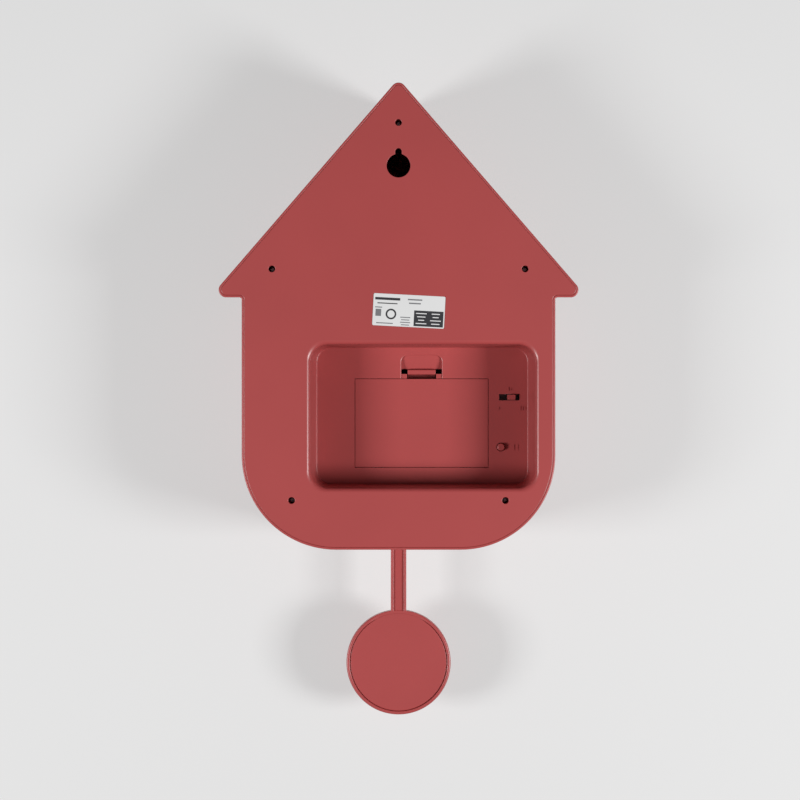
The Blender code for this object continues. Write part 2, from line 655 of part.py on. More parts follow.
def back_cover():
    """Cover plate with the deep recess, keyhole, label pocket, screw tubes and control openings."""
    cover = plate("back_cover", house(SHELL_RIM + SEAM), 0.0, COVER)
    outer = recess_rings(COVER)[3:]
    first = [(x, COVER / 2, z) for x, _, z in outer[0]]
    last = [(x, FLOOR_BACK, z) for x, _, z in outer[-1]]
    join(cover, loft("recess", [first, last]))
    join(cover, *[rod("tube", (x, 0, z), WELL_TUBE, COVER / 2, WELL_END, sides=20)
                  for x, z in SCREW_PLACES])
    backing = (WELL_LOW, WELL_HIGH + WELL_BACKING)
    sides = (DOOR_X - WELL_WIDTH / 2 - COVER, DOOR_X + WELL_WIDTH / 2 + COVER)
    join(cover, block("backing", sides, (RECESS_DEPTH + COVER / 2,
                                         RECESS_DEPTH + WELL_FALL + WELL_BACKING), backing))
    join(cover, *[rod("post", (x, 0, z), BOARD_POST_RADIUS, RECESS_DEPTH + COVER / 2,
                      BOARD_BACK - GAP, sides=16)
                  for x, z in BOARD_POSTS])
    inner = recess_rings()
    inner.insert(0, [(x, -1.0, z) for x, _, z in inner[0]])
    cut(cover, loft("pocket", inner))
    slope = [(RECESS_DEPTH - 1.0, WELL_HIGH), (RECESS_DEPTH, WELL_HIGH),
             (RECESS_DEPTH + WELL_FALL, WELL_LOW), (RECESS_DEPTH + 2 * WELL_FALL, WELL_LOW),
             (RECESS_DEPTH + 2 * WELL_FALL, WELL_LOW - 3.0), (RECESS_DEPTH - 1.0, WELL_LOW - 3.0)]
    cut(cover, bar("finger_well", slope, DOOR_X - WELL_WIDTH / 2, DOOR_X + WELL_WIDTH / 2))
    through = (RECESS_DEPTH - 1.0, FLOOR_BACK + 5.0)
    cut(cover, block("latch_slot", (DOOR_X - LATCH_WIDTH / 2 - 1.0, DOOR_X + LATCH_WIDTH / 2 + 1.0),
                     through, (DOOR_TOP, WELL_LOW - 1.0)))
    door = rectangle(DOOR_X, (DOOR_LOW + DOOR_TOP) / 2, DOOR_WIDTH + 2 * SLIT,
                     DOOR_HEIGHT + 2 * SLIT)
    cut(cover, plate("door_opening", door, *through))
    cut(cover, plate("switch_slot", rectangle(SWITCH_X, SWITCH_Z, *SWITCH_SLOT), *through))
    cut(cover, rod("button_hole", (BUTTON_X, 0, BUTTON_Z), BUTTON_HOLE, *through))
    cut(cover, plate("keyhole", keyhole(), -1.0, COVER + 1.0))
    cut(cover, label_plate("label_pocket", GAP / 2, -1.0, LABEL_SUNK + LABEL + LABEL_GLUE))
    for x, z in SCREW_PLACES:
        cut(cover, rod("head_hole", (x, 0, z), WELL_HOLE, -1.0, WELL_END - WELL_FLOOR))
        cut(cover, rod("shank_hole", (x, 0, z), SCREW_SHANK + LOOSE, 1.0, WELL_END + 1.0,
                       sides=SMALL_SIDES))
    cut(cover, *[rod("pilot", (x, 0, z), BOARD_SCREW_SHANK + LOOSE, FLOOR_BACK, BOARD_BACK + 1.0,
                     sides=SMALL_SIDES)
                 for x, z in BOARD_POSTS])
    return finish(cover, "red_plastic")


def screw(name, place, head_back, length, head=SCREW_HEAD, shank=SCREW_SHANK, forward=1):
    """Pan-head screw along depth; its head's outer face is at head_back."""
    under = head_back + forward * SCREW_HEAD_THICK
    end = under + forward * length
    profile = [(0, head_back), (head * 0.8, head_back), (head, head_back + forward * 0.5),
               (head, under), (shank, under), (shank, end - forward), (0, end)]
    return finish(turned(name, profile, (place[0], 0, place[1]), sides=SMALL_SIDES), "steel")


def label():
    """Thin sticker, turned slightly, in its shallow pocket."""
    return finish(label_plate("rating_label", 0.0, LABEL_SUNK, LABEL_SUNK + LABEL), "paper")


# Battery compartment

def battery_door():
    """Flush door with two hooked tabs below and the latch's fixed leg above."""
    door = plate("battery_door", rectangle(DOOR_X, (DOOR_LOW + DOOR_TOP) / 2, DOOR_WIDTH,
                                           DOOR_HEIGHT), RECESS_DEPTH, DOOR_BACK)
    tab_back = FLOOR_BACK + GAP
    for side in (-CELL_PITCH / 2, CELL_PITCH / 2):
        x = (DOOR_X + side - DOOR_TAB_WIDTH / 2, DOOR_X + side + DOOR_TAB_WIDTH / 2)
        join(door, block("root", x, (DOOR_BACK - 0.5, tab_back + DOOR_TAB_THICK),
                         (DOOR_LOW + 0.1, DOOR_LOW + 1.8)))
        join(door, block("tab", x, (tab_back, tab_back + DOOR_TAB_THICK),
                         (DOOR_LOW - DOOR_TAB, DOOR_LOW + 1.0)))
    half = LATCH_WIDTH / 2
    join(door, block("leg", (DOOR_X - half, DOOR_X + half),
                     (DOOR_BACK - 0.5, RECESS_DEPTH + LATCH_REACH - 1.5),
                     (DOOR_TOP - 2.4, DOOR_TOP - 1.0)))
    return finish(axis_at(door, (DOOR_X, RECESS_DEPTH, DOOR_LOW)), "red_plastic")


def battery_latch():
    """Springy finger leg of the latch, with its head, nib and bend."""
    front = RECESS_DEPTH + LATCH_SUNK
    end = RECESS_DEPTH + LATCH_REACH + 0.8
    nib = RECESS_DEPTH + WELL_FALL + WELL_BACKING + GAP
    low, leg_top, top = LATCH_LOW, LATCH_LOW + LATCH_LEG, LATCH_TOP
    section = [(front + 0.5, low), (end - LATCH_LEG, low), (end - LATCH_LEG, low - 2.6),
               (end, low - 2.6), (end, leg_top - 1.0), (end - 0.8, leg_top), (nib + LATCH_NIB, leg_top),
               (nib, leg_top + 0.7), (nib, leg_top), (front + LATCH_HEAD_THICK, leg_top),
               (front + LATCH_HEAD_THICK, top), (front + 0.5, top), (front, top - 0.5),
               (front, low + 0.5)]
    latch = bar("battery_latch", section, DOOR_X - LATCH_WIDTH / 2, DOOR_X + LATCH_WIDTH / 2)
    return finish(axis_at(latch, LATCH_PIVOT), "red_plastic")


def battery_tub():
    """Open box behind the recess floor, with low ribs between the cells."""
    half = TUB_INNER_WIDTH / 2
    x = (DOOR_X - half, DOOR_X + half)
    grow = TUB_WALL
    tub = block("battery_tub", (x[0] - grow, x[1] + grow), (FLOOR_BACK + GAP, TUB_BACK),
                (TUB_LOW - grow, TUB_TOP + grow))
    cut(tub, block("room", x, (FLOOR_BACK - 1.0, TUB_FLOOR), (TUB_LOW, TUB_TOP)))
    for n in range(1, CELL_COUNT):
        middle = DOOR_X + (n - CELL_COUNT / 2) * CELL_PITCH
        join(tub, block("rib", (middle - 0.6, middle + 0.6), (TUB_FLOOR - 4.0, TUB_FLOOR + 0.5),
                        (CELL_LOW + 2.0, CELL_TOP - 4.0)))
    notch = LATCH_WIDTH / 2 + 1.0
    cut(tub, block("latch_notch", (DOOR_X - notch, DOOR_X + notch),
                   (FLOOR_BACK - 1.0, RECESS_DEPTH + LATCH_REACH + 4.0),
                   (TUB_TOP - 1.0, TUB_TOP + grow + 1.0)))
    return finish(tub, "red_plastic")


def cell_up(index):
    """Whether the cell's positive end points up; neighbours alternate."""
    return index % 2 == 0


def cell_x(index):
    return DOOR_X + (index - (CELL_COUNT - 1) / 2) * CELL_PITCH


def battery_cell(index):
    radius = CELL_DIAMETER / 2
    nub = CELL_LENGTH - CELL_NUB
    profile = [(0, 0.4), (radius * 0.55, 0.4), (radius * 0.6, 0.0), (radius - 0.8, 0.0),
               (radius, 0.8), (radius, nub - 1.0), (radius - 1.0, nub),
               (CELL_NUB_RADIUS, nub), (CELL_NUB_RADIUS, CELL_LENGTH), (0, CELL_LENGTH)]
    start = CELL_LOW
    if not cell_up(index):
        profile = [(r, CELL_LENGTH - along) for r, along in profile]
    thing = turned(f"battery_cell_{index + 1}", profile, (cell_x(index), CELL_DEPTH, start), "z", 20)
    return finish(thing, "cell")


def battery_spring(index):
    """Conical spring between the cell's flat end and its contact plate."""
    wire = 0.35
    length = CONTACT_ROOM - 2 * wire - 2 * 0.2
    if cell_up(index):
        start, lift = CELL_LOW - CONTACT_ROOM + wire + 0.2, length
    else:
        start, lift = CELL_TOP + CONTACT_ROOM - wire - 0.2, -length
    thing = spring(f"battery_spring_{index + 1}", (cell_x(index), CELL_DEPTH, start), (5.0, 3.2),
                   lift, wire, 2.5)
    return finish(thing, "steel")


def contacts():
    """Plates that join the cells in series, and the two end terminals."""
    last = CELL_COUNT - 1
    plates = {
        "contact_negative": (0, 0, False),
        "contact_link_top": (0, 1, True),
        "contact_link_bottom": (1, 2, False),
        "contact_positive": (last, last, True),
    }
    half = 6.0
    for name, (first, final, top) in plates.items():
        low = CELL_TOP + CONTACT_ROOM if top else CELL_LOW - CONTACT_ROOM - CONTACT
        thing = block(name, (cell_x(first) - half, cell_x(final) + half),
                      (CELL_DEPTH - half + 1.0, CELL_DEPTH + half), (low, low + CONTACT))
        finish(thing, "steel")


# Controls

def circuit_board():
    middle = (DOOR_LOW + DOOR_TOP) / 2
    board = plate("circuit_board", rectangle(BOARD_X, middle, BOARD_WIDTH, DOOR_HEIGHT, 1.0, 2),
                  BOARD_BACK, BOARD_BACK + BOARD)
    holes = [rod("hole", (x, 0, z), BOARD_SCREW_SHANK + 2 * LOOSE, BOARD_BACK - 1,
                 BOARD_BACK + BOARD + 1, sides=SMALL_SIDES) for x, z in BOARD_POSTS]
    finish(cut(board, *holes), "board")
    for index, place in enumerate(BOARD_POSTS):
        head = BOARD_BACK + BOARD + GAP + SCREW_HEAD_THICK
        screw(f"board_screw_{index + 1}", place, head, BOARD_SCREW_LENGTH,
              shank=BOARD_SCREW_SHANK, forward=-1)


def switch():
    """Slide switch: a fixed body on the board, and its knob through the recess floor."""
    width, height = SWITCH_BODY
    back, front = FLOOR_BACK + 2 * GAP, BOARD_BACK - GAP
    body = plate("switch_body", rectangle(SWITCH_X, SWITCH_Z, width, height), back, front)
    room = rectangle(SWITCH_X, SWITCH_Z, SWITCH_SLOT[0], SWITCH_KNOB[1] + 2 * GAP)
    cut(body, plate("room", room, back - 1.0, front - 1.5))
    finish(body, "grey_plastic")
    x = SWITCH_X + SWITCH_KNOB_OFFSET
    wide, high = SWITCH_KNOB
    foot = plate("switch_knob", rectangle(x, SWITCH_Z, wide, high), FLOOR_BACK, front - 1.5 - GAP)
    knob = plate("knob", rectangle(x, SWITCH_Z, wide, high, 0.4, 2), RECESS_DEPTH - KNOB_PROUD,
                 FLOOR_BACK + 0.5)
    finish(axis_at(join(foot, knob), (x, RECESS_DEPTH, SWITCH_Z)), "red_plastic")


def set_button():
    """Push button with a flange behind the recess floor, and the switch it presses."""
    start = RECESS_DEPTH - BUTTON_PROUD
    flange = FLOOR_BACK + GAP
    profile = [(0, start), (BUTTON_RADIUS - 0.4, start), (BUTTON_RADIUS, start + 0.4),
               (BUTTON_RADIUS, flange), (BUTTON_FLANGE, flange), (BUTTON_FLANGE, flange + 0.9),
               (1.5, flange + 0.9), (1.5, flange + 1.3), (0, flange + 1.3)]
    button = turned("set_button", profile, (BUTTON_X, 0, BUTTON_Z), sides=24)
    finish(axis_at(button, (BUTTON_X, RECESS_DEPTH, BUTTON_Z)), "red_plastic")
    top = flange + 1.3 + BUTTON_TRAVEL + GAP
    tact = plate("button_switch", rectangle(BUTTON_X, BUTTON_Z, TACT_SIDE, TACT_SIDE, 0.5, 2),
                 top + 0.7, BOARD_BACK - GAP)
    join(tact, rod("plunger", (BUTTON_X, 0, BUTTON_Z), 1.6, top, top + 1.0, sides=16))
    finish(tact, "dark_plastic")


def speaker():
    back, front = PANEL_BACK - GAP - SPEAKER_DEPTH, PANEL_BACK - GAP
    r = SPEAKER_RADIUS
    profile = [(0, back), (r * 0.45, back), (r * 0.45, back + 5.0), (r * 0.8, front - 4.0),
               (r, front - 2.5), (r, front), (r * 0.85, front), (r * 0.35, front - 3.5),
               (0, front - 3.5)]
    place = (SPEAKER_X, 0, BOTTOM_Z + SPEAKER_ABOVE_BOTTOM)
    return finish(turned("speaker", profile, place, sides=24), "dark_plastic")


# Dial, hands and movement

def dial_face():
    dial = plate("dial_face", circle(0, DIAL_Z, DIAL_RADIUS, 60), DIAL_BACK, DIAL_FRONT)
    for hour in range(12):
        angle = math.pi / 6 * hour
        length = MARK_LENGTH * (1.6 if hour % 3 == 0 else 1.0)
        middle = DIAL_RADIUS - MARK_INSET - length / 2
        shape = []
        for x, z in rectangle(0, middle, MARK_WIDTH, length):
            shape.append((x * math.cos(angle) + z * math.sin(angle),
                          DIAL_Z - x * math.sin(angle) + z * math.cos(angle)))
        join(dial, plate("mark", shape, DIAL_FRONT - 0.4, DIAL_FRONT + MARK_RAISED))
    cut(dial, rod("hole", (0, 0, DIAL_Z), BUSH_RADIUS + LOOSE, DIAL_BACK - 1, DIAL_FRONT + 1))
    return finish(dial, "white_plastic")


def hand(name, length, turn, back, bore, width):
    """Tapered hand with a round hub, turned clockwise from twelve."""
    tip, tail = width * 0.35, width * 0.5
    shape = [(-tail, -9.0), (tail, -9.0), (width / 2, 0.0), (tip, length), (-tip, length),
             (-width / 2, 0.0)]
    points = []
    for x, z in shape:
        points.append((x * math.cos(turn) + z * math.sin(turn),
                       DIAL_Z - x * math.sin(turn) + z * math.cos(turn)))
    thing = plate(name, points, back, back + HAND)
    join(thing, rod("hub", (0, 0, DIAL_Z), HUB_RADIUS, back, back + HAND, sides=32))
    cut(thing, rod("bore", (0, 0, DIAL_Z), bore, back - 1, back + HAND + 1))
    return finish(axis_at(thing, (0, back, DIAL_Z)), "dark_plastic")


def hands():
    hand("hour_hand", HOUR_HAND, HOUR_TURN, HOUR_BACK, PIPE_RADIUS + RUNNING, 6.5)
    hand("minute_hand", MINUTE_HAND, MINUTE_TURN, MINUTE_BACK, ARBOR_RADIUS + RUNNING, 5.0)
    start = MINUTE_BACK + HAND + GAP
    cap = turned("hand_cap", [(0, start + 0.5), (ARBOR_RADIUS + RUNNING, start + 0.5),
                              (ARBOR_RADIUS + RUNNING, start), (3.4, start), (3.4, start + 1.0),
                              (2.4, start + 1.7), (0, start + 1.9)], (0, 0, DIAL_Z))
    finish(axis_at(cap, (0, start, DIAL_Z)), "steel")


def movement():
    """Quartz movement: case with its threaded bush, lid, nut and stepper motor."""
    side = MOVEMENT_SIDE
    lid = MOVEMENT_BACK + MOVEMENT_LID
    case = plate("movement_case", rectangle(0, DIAL_Z, side, side, 2.0, 3), lid + GAP, MOVEMENT_FRONT)
    inner = side - 2 * MOVEMENT_WALL
    inner_front = MOVEMENT_FRONT - MOVEMENT_WALL
    cut(case, plate("room", rectangle(0, DIAL_Z, inner, inner), lid - 1.0, inner_front))
    join(case, rod("bush", (0, 0, DIAL_Z), BUSH_RADIUS, inner_front + 0.5, BUSH_FRONT))
    join(case, rod("post", (GEAR_CENTRES, 0, DIAL_Z), POST_RADIUS, CANNON_BACK - 1.0,
                   inner_front + 0.5, sides=SMALL_SIDES))
    cut(case, rod("bore", (0, 0, DIAL_Z), BUSH_BORE, inner_front - 1.0, BUSH_FRONT + 1.0))
    finish(case, "dark_plastic")

    cover = plate("movement_cover", rectangle(0, DIAL_Z, side, side, 2.0, 3), MOVEMENT_BACK, lid)
    join(cover, rod("socket", (0, 0, DIAL_Z), ARBOR_RADIUS + 1.5, lid - 0.5, CANNON_BACK - 0.7))
    cut(cover, rod("bore", (0, 0, DIAL_Z), ARBOR_RADIUS + RUNNING, lid, CANNON_BACK))
    finish(cover, "dark_plastic")

    nut = plate("movement_nut", circle(0, DIAL_Z, NUT_RADIUS, 6), NUT_BACK, NUT_BACK + NUT)
    cut(nut, rod("thread", (0, 0, DIAL_Z), BUSH_RADIUS + LOOSE, NUT_BACK - 1, NUT_BACK + NUT + 1))
    finish(nut, "brass")

    reach = side / 2 - MOVEMENT_WALL - 4.0
    profile = [(0, -reach), (3.6, -reach), (3.6, 1 - reach), (2.6, 1 - reach), (2.6, reach - 1),
               (3.6, reach - 1), (3.6, reach), (0, reach)]
    place = (0, (lid + inner_front) / 2, DIAL_Z - side / 2 + MOVEMENT_WALL + 5.5)
    finish(turned("stepper_motor", profile, place, "x"), "brass")


def motion_works():
    """Minute arbor with its pinion, minute wheel with its pinion, and hour wheel with its pipe."""
    face = (CANNON_BACK, CANNON_BACK + GEAR_FACE)
    arbor = plate("minute_arbor", gear(0, DIAL_Z, CANNON_TEETH, GEAR_MODULE), *face)
    rear, front = CANNON_BACK - 3.2, MINUTE_BACK + HAND + GAP + 0.2
    join(arbor, rod("shaft", (0, 0, DIAL_Z), ARBOR_RADIUS, rear, front))
    finish(axis_at(arbor, (0, CANNON_BACK, DIAL_Z)), "brass")

    half_tooth = math.pi / MINUTE_TEETH
    wheel = plate("minute_wheel", gear(GEAR_CENTRES, DIAL_Z, MINUTE_TEETH, GEAR_MODULE,
                                       math.pi + half_tooth), *face)
    pinion = gear(GEAR_CENTRES, DIAL_Z, MINUTE_PINION_TEETH, GEAR_MODULE)
    join(wheel, plate("pinion", pinion, CANNON_BACK + GEAR_FACE - 0.5,
                      HOUR_GEAR_BACK + GEAR_FACE + 0.3))
    cut(wheel, rod("bore", (GEAR_CENTRES, 0, DIAL_Z), POST_RADIUS + RUNNING, CANNON_BACK - 1,
                   HOUR_GEAR_BACK + GEAR_FACE + 1, sides=SMALL_SIDES))
    finish(axis_at(wheel, (GEAR_CENTRES, CANNON_BACK, DIAL_Z)), "brass")

    half_tooth = math.pi / HOUR_TEETH
    hour = plate("hour_wheel", gear(0, DIAL_Z, HOUR_TEETH, GEAR_MODULE, half_tooth),
                 HOUR_GEAR_BACK, HOUR_GEAR_BACK + GEAR_FACE)
    join(hour, rod("pipe", (0, 0, DIAL_Z), PIPE_RADIUS, HOUR_GEAR_BACK + 0.5, HOUR_BACK + HAND))
    cut(hour, rod("bore", (0, 0, DIAL_Z), ARBOR_RADIUS + RUNNING, HOUR_GEAR_BACK - 1,
                  HOUR_BACK + HAND + 1))
    finish(axis_at(hour, (0, HOUR_GEAR_BACK, DIAL_Z)), "brass")


# Bird

def bird_door():
    """Door in the gable, rounded at its hinge edge, and its pin."""
    x, depth, _ = BIRD_DOOR_AXIS
    edge = BIRD_DOOR / 2
    section = [(x + edge * math.cos(a), depth + edge * math.sin(a))
               for a in [math.pi / 2 + math.pi * n / 8 for n in range(9)]]
    free = BIRD_DOOR_WIDTH / 2 - SLIT
    section += [(free, depth - edge), (free, depth + edge)]
    low, high = SILL_Z + SLIT, SILL_Z + BIRD_DOOR_HEIGHT - SLIT
    door = column("bird_door", section, low, high)
    cut(door, rod("bore", (x, depth, 0), HINGE_PIN + RUNNING, low - 1, high + 1, "z", 10))
    finish(axis_at(door, BIRD_DOOR_AXIS), "red_plastic")
    ends = (SILL_Z - HINGE_PIN_END, SILL_Z + BIRD_DOOR_HEIGHT + HINGE_PIN_END)
    finish(rod("bird_door_pin", (x, depth, 0), HINGE_PIN, *ends, axis="z", sides=10), "steel")


def bird():
    """Simple bird standing on the carriage: tail, body and head in one, and a beak."""
    stations = [  # share of the length from the tail, height over the carriage, half width, half height
        (0.0, 11.6, 3.4, 0.8), (0.2, 10.6, 3.0, 1.7), (0.35, 9.2, 6.0, 5.0), (0.53, 9.2, 8.0, 7.4),
        (0.7, 11.4, 7.6, 8.0), (0.83, 15.0, 6.4, 7.0), (0.93, 16.4, 4.9, 5.4), (1.0, 16.4, 2.4, 2.7),
    ]
    start = BIRD_FRONT - BIRD_LENGTH
    rings = []
    for share, height, wide, high in stations:
        ring = []
        for n in range(16):
            angle = 2 * math.pi * n / 16
            ring.append((wide * math.cos(angle), start + share * BIRD_LENGTH,
                         CARRIAGE_TOP + height + high * math.sin(angle)))
        rings.append(ring)
    body = loft("bird_body", rings)
    foot = rod("foot", (0, start + 0.6 * BIRD_LENGTH, 0), 1.6, CARRIAGE_TOP + GAP,
               CARRIAGE_TOP + 8.0, "z", 12)
    finish(join(body, foot), "white_plastic", 60.0)
    head_z = CARRIAGE_TOP + 16.4
    beak = turned("bird_beak", [(0, 0), (1.8, 0), (1.2, BEAK_LENGTH * 0.55), (0, BEAK_LENGTH)],
                  (0, BIRD_FRONT + GAP, head_z), sides=SMALL_SIDES)
    finish(beak, "yellow_plastic", 60.0)


def rack_side():
    """Toothed side of the carriage, as (x, depth) points from back to front."""
    pitch = math.pi * RACK_MODULE
    root = RACK_LINE - 1.1 * RACK_MODULE
    tip = RACK_LINE + 0.75 * RACK_MODULE
    points = []
    middle_gap = PINION_PLACE[1]
    first = math.ceil((CARRIAGE_BACK + 1.5 - middle_gap) / pitch)
    last = math.floor((CARRIAGE_FRONT - 1.5 - middle_gap) / pitch) - 1
    for n in range(first, last + 1):
        middle = middle_gap + (n + 0.5) * pitch
        for share, x in ((-0.26, root), (-0.09, tip), (0.09, tip), (0.26, root)):
            points.append((x, middle + share * pitch))
    return points


def bird_carriage():
    """Sliding carriage with a rack along its right side."""
    half = CARRIAGE_WIDTH / 2
    root = RACK_LINE - 1.1 * RACK_MODULE
    section = [(-half, CARRIAGE_BACK), (root, CARRIAGE_BACK)] + rack_side()
    section += [(root, CARRIAGE_FRONT), (-half, CARRIAGE_FRONT)]
    carriage = column("bird_carriage", section, CARRIAGE_LOW, CARRIAGE_TOP)
    return finish(axis_at(carriage, (0, CARRIAGE_BACK, CARRIAGE_LOW)), "white_plastic")


def bird_drive():
    """Fixed guide for the carriage, its two screws, the motor and the pinion on its shaft."""
    half = CARRIAGE_WIDTH / 2
    back, low = CARRIAGE_BACK - 3.0, GUIDE_LOW
    floor = low + GUIDE_FLOOR
    right = RACK_LINE + 0.75 * RACK_MODULE + GAP
    guide = block("carriage_guide", (-half - GAP - GUIDE_WALL, right + GUIDE_WALL),
                  (back, GUIDE_FRONT), (low, CARRIAGE_TOP - 0.5))
    cut(guide, block("channel", (-half - GAP, right), (back - 1, GUIDE_FRONT + 1),
                     (floor, CARRIAGE_TOP + 1)))
    place = PINION_PLACE
    room = PINION_RADIUS + RACK_MODULE + 1.5
    cut(guide, block("pinion_room", (right - 1.0, right + GUIDE_WALL + 1.0),
                     (place[1] - room, place[1] + room), (floor, CARRIAGE_TOP + 1)))
    join(guide, block("shelf", (right, place[0] + 4.0), (place[1] - 6.0, place[1] + 6.0),
                      (low, floor - 0.5)))
    flange_low = low - 2 * GUIDE_SCREW_BELOW
    reach = GUIDE_SCREW_X + 5.0
    join(guide, block("flange", (-reach, reach), (GUIDE_FRONT - GUIDE_FLANGE, GUIDE_FRONT),
                      (flange_low, low + 1.0)))
    cut(guide, rod("shaft_hole", (place[0], place[1], 0), 1.8, low - 1, floor + 1, "z", 16))
    screw_z = low - GUIDE_SCREW_BELOW
    for index, x in enumerate((-GUIDE_SCREW_X, GUIDE_SCREW_X)):
        cut(guide, rod("hole", (x, 0, screw_z), SCREW_SHANK + LOOSE, GUIDE_FRONT - GUIDE_FLANGE - 1,
                       GUIDE_FRONT + 1, sides=SMALL_SIDES))
        head = GUIDE_FRONT - GUIDE_FLANGE - GAP - SCREW_HEAD_THICK
        screw(f"guide_screw_{index + 1}", (x, screw_z), head, 6.5, head=2.4)
    finish(guide, "grey_plastic")

    width, length, height = MOTOR_SIZE
    top = low - GAP
    middle = place[1] - 4.0
    motor = block("bird_motor", (place[0] - width / 2, place[0] + width / 2),
                  (middle - length / 2, middle + length / 2), (top - height, top))
    cut(motor, rod("socket", (place[0], place[1], 0), 1.0 + RUNNING, top - 4.0, top + 1, "z", 16))
    finish(motor, "grey_plastic")

    outline = gear(place[0], place[1], PINION_TEETH, RACK_MODULE, math.pi)
    pinion = column("motor_pinion", outline, CARRIAGE_LOW + 0.2, CARRIAGE_TOP - 0.2)
    join(pinion, rod("shaft", (place[0], place[1], 0), 1.0, top - 3.5, CARRIAGE_TOP - 1.0, "z", 16))
    finish(axis_at(pinion, place), "brass")


# Pendulum

def pendulum_rod():
    """Rod and bob cup in one moulding, with raised rims on the back."""
    half = ROD_WIDTH / 2
    back, front = ROD_BACK, ROD_BACK + ROD_THICK
    top = PEG_Z + ROD_END
    neck = BOB_Z + BOB_RADIUS
    section = [(-half, back), (-half + ROD_RIM, back), (-half + ROD_RIM, back + ROD_CHANNEL),
               (half - ROD_RIM, back + ROD_CHANNEL), (half - ROD_RIM, back), (half, back),
               (half, front), (-half, front)]
    bob_back = back - BOB_BEHIND_ROD
    bob_front = bob_back + BOB_THICK
    inside = (BOB_RADIUS - BOB_RIM, bob_front - BOB_FRONT)
    profile = [(0, inside[1]), inside, (inside[0], bob_back), (BOB_RADIUS - 0.6, bob_back),
               (BOB_RADIUS, bob_back + 0.6), (BOB_RADIUS, bob_front - BOB_ROUND),
               (BOB_RADIUS - 0.3 * BOB_ROUND, bob_front - 0.3 * BOB_ROUND),
               (BOB_RADIUS - BOB_ROUND, bob_front), (0, bob_front)]
    thing = turned("pendulum_rod", profile, (0, 0, BOB_Z), sides=48)
    notch = half - ROD_RIM - 0.1
    cut(thing, block("neck", (-notch, notch), (bob_back - 1.0, back + ROD_CHANNEL + 0.1),
                     (neck - BOB_RIM - 1.0, neck + 0.5)))
    join(thing, column("rod", section, neck - 1.2, top))
    cut(thing, rod("eye", (0, 0, PEG_Z), PEG_RADIUS + LOOSE, back - 1, front + 1, sides=16))
    return finish(axis_at(thing, (0, back, PIVOT_Z)), "red_plastic")


def bob_parts():
    """Disc that closes the bob's back, and the steel weight inside."""
    back = ROD_BACK - BOB_BEHIND_ROD + BOB_SINK
    cover = rod("bob_cover", (0, 0, BOB_Z), BOB_RADIUS - BOB_RIM - SLIT, back, back + BOB_COVER,
                sides=48)
    finish(axis_at(cover, (0, back, PIVOT_Z)), "red_plastic")
    front = ROD_BACK - BOB_BEHIND_ROD + BOB_THICK - BOB_FRONT - GAP
    radius = BOB_RADIUS - BOB_RIM - WEIGHT_INSIDE
    weight = rod("bob_weight", (0, 0, BOB_Z), radius, front - WEIGHT, front, sides=32)
    finish(axis_at(weight, (0, front, PIVOT_Z)), "steel")


def pendulum_hanger():
    """Swinging lever on the pivot pin, with the peg that carries the rod, and its magnet."""
    back, front = HANGER_BACK, HANGER_BACK + HANGER
    half = HANGER_WIDTH / 2
    low = PIVOT_Z - HANGER_REACH
    shape = rounded([(-half, low, 2.0, 3), (half, low, 2.0, 3), (half, PIVOT_Z + half, 3.0, 4),
                     (-half, PIVOT_Z + half, 3.0, 4)])
    hanger = plate("pendulum_hanger", shape, back, front)
    join(hanger, rod("peg", (0, 0, PEG_Z), PEG_RADIUS, ROD_BACK - 1.0, back + 0.5, sides=16))
    cut(hanger, rod("eye", (0, 0, PIVOT_Z), PIN_RADIUS + RUNNING, back - 1, front + 1, sides=16))
    finish(axis_at(hanger, (0, back, PIVOT_Z)), "dark_plastic")
    magnet = rod("pendulum_magnet", (0, 0, low + MAGNET_RADIUS + 0.5), MAGNET_RADIUS, MAGNET_BACK,
                 MAGNET_BACK + MAGNET)
    finish(axis_at(magnet, (0, back, PIVOT_Z)), "steel")


def pendulum_drive():
    """Drive unit behind the front panel, and the pin that the hanger swings on."""
    width, height = DRIVE_SIZE
    top = PIVOT_Z + 5.0
    shape = rectangle(0, top - height / 2, width, height, 2.0, 3)
    drive = plate("pendulum_drive", shape, DRIVE_BACK, PANEL_BACK - GAP)
    cut(drive, rod("socket", (0, 0, PIVOT_Z), PIN_RADIUS + 0.1, DRIVE_BACK - 1, DRIVE_BACK + 5.3,
                   sides=16))
    finish(drive, "dark_plastic")
    head = HANGER_BACK - GAP
    profile = [(0, head - 1.0), (PIN_HEAD - 0.3, head - 1.0), (PIN_HEAD, head - 0.7),
               (PIN_HEAD, head), (PIN_RADIUS, head), (PIN_RADIUS, DRIVE_BACK + 5.0),
               (0, DRIVE_BACK + 5.0)]
    finish(turned("pivot_pin", profile, (0, 0, PIVOT_Z), sides=16), "steel")


def main():
    for thing in list(bpy.data.objects):
        bpy.data.objects.remove(thing)
    front_shell()
    back_cover()
    for index, place in enumerate(SCREW_PLACES):
        screw(f"housing_screw_{index + 1}", place, SCREW_SINK, SCREW_LENGTH)
    label()
    battery_door()
    battery_latch()
    battery_tub()
    for index in range(CELL_COUNT):
        battery_cell(index)
        battery_spring(index)
    contacts()
    circuit_board()
    switch()
    set_button()
    speaker()
    dial_face()
    hands()
    movement()
    motion_works()
    bird_door()
    bird()
    bird_carriage()
    bird_drive()
    pendulum_rod()
    bob_parts()
    pendulum_hanger()
    pendulum_drive()


main()
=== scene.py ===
"""Looks of the house-shaped cuckoo clock: finely made shells, materials, light and camera.

Shapes are made in millimetres and become metres where a mesh is made. A point is (x, depth, z):
depth runs from the back plane towards the front (world -Y), and z up.
"""
import json
import math

import bmesh
import bpy
from mathutils import Matrix, Vector


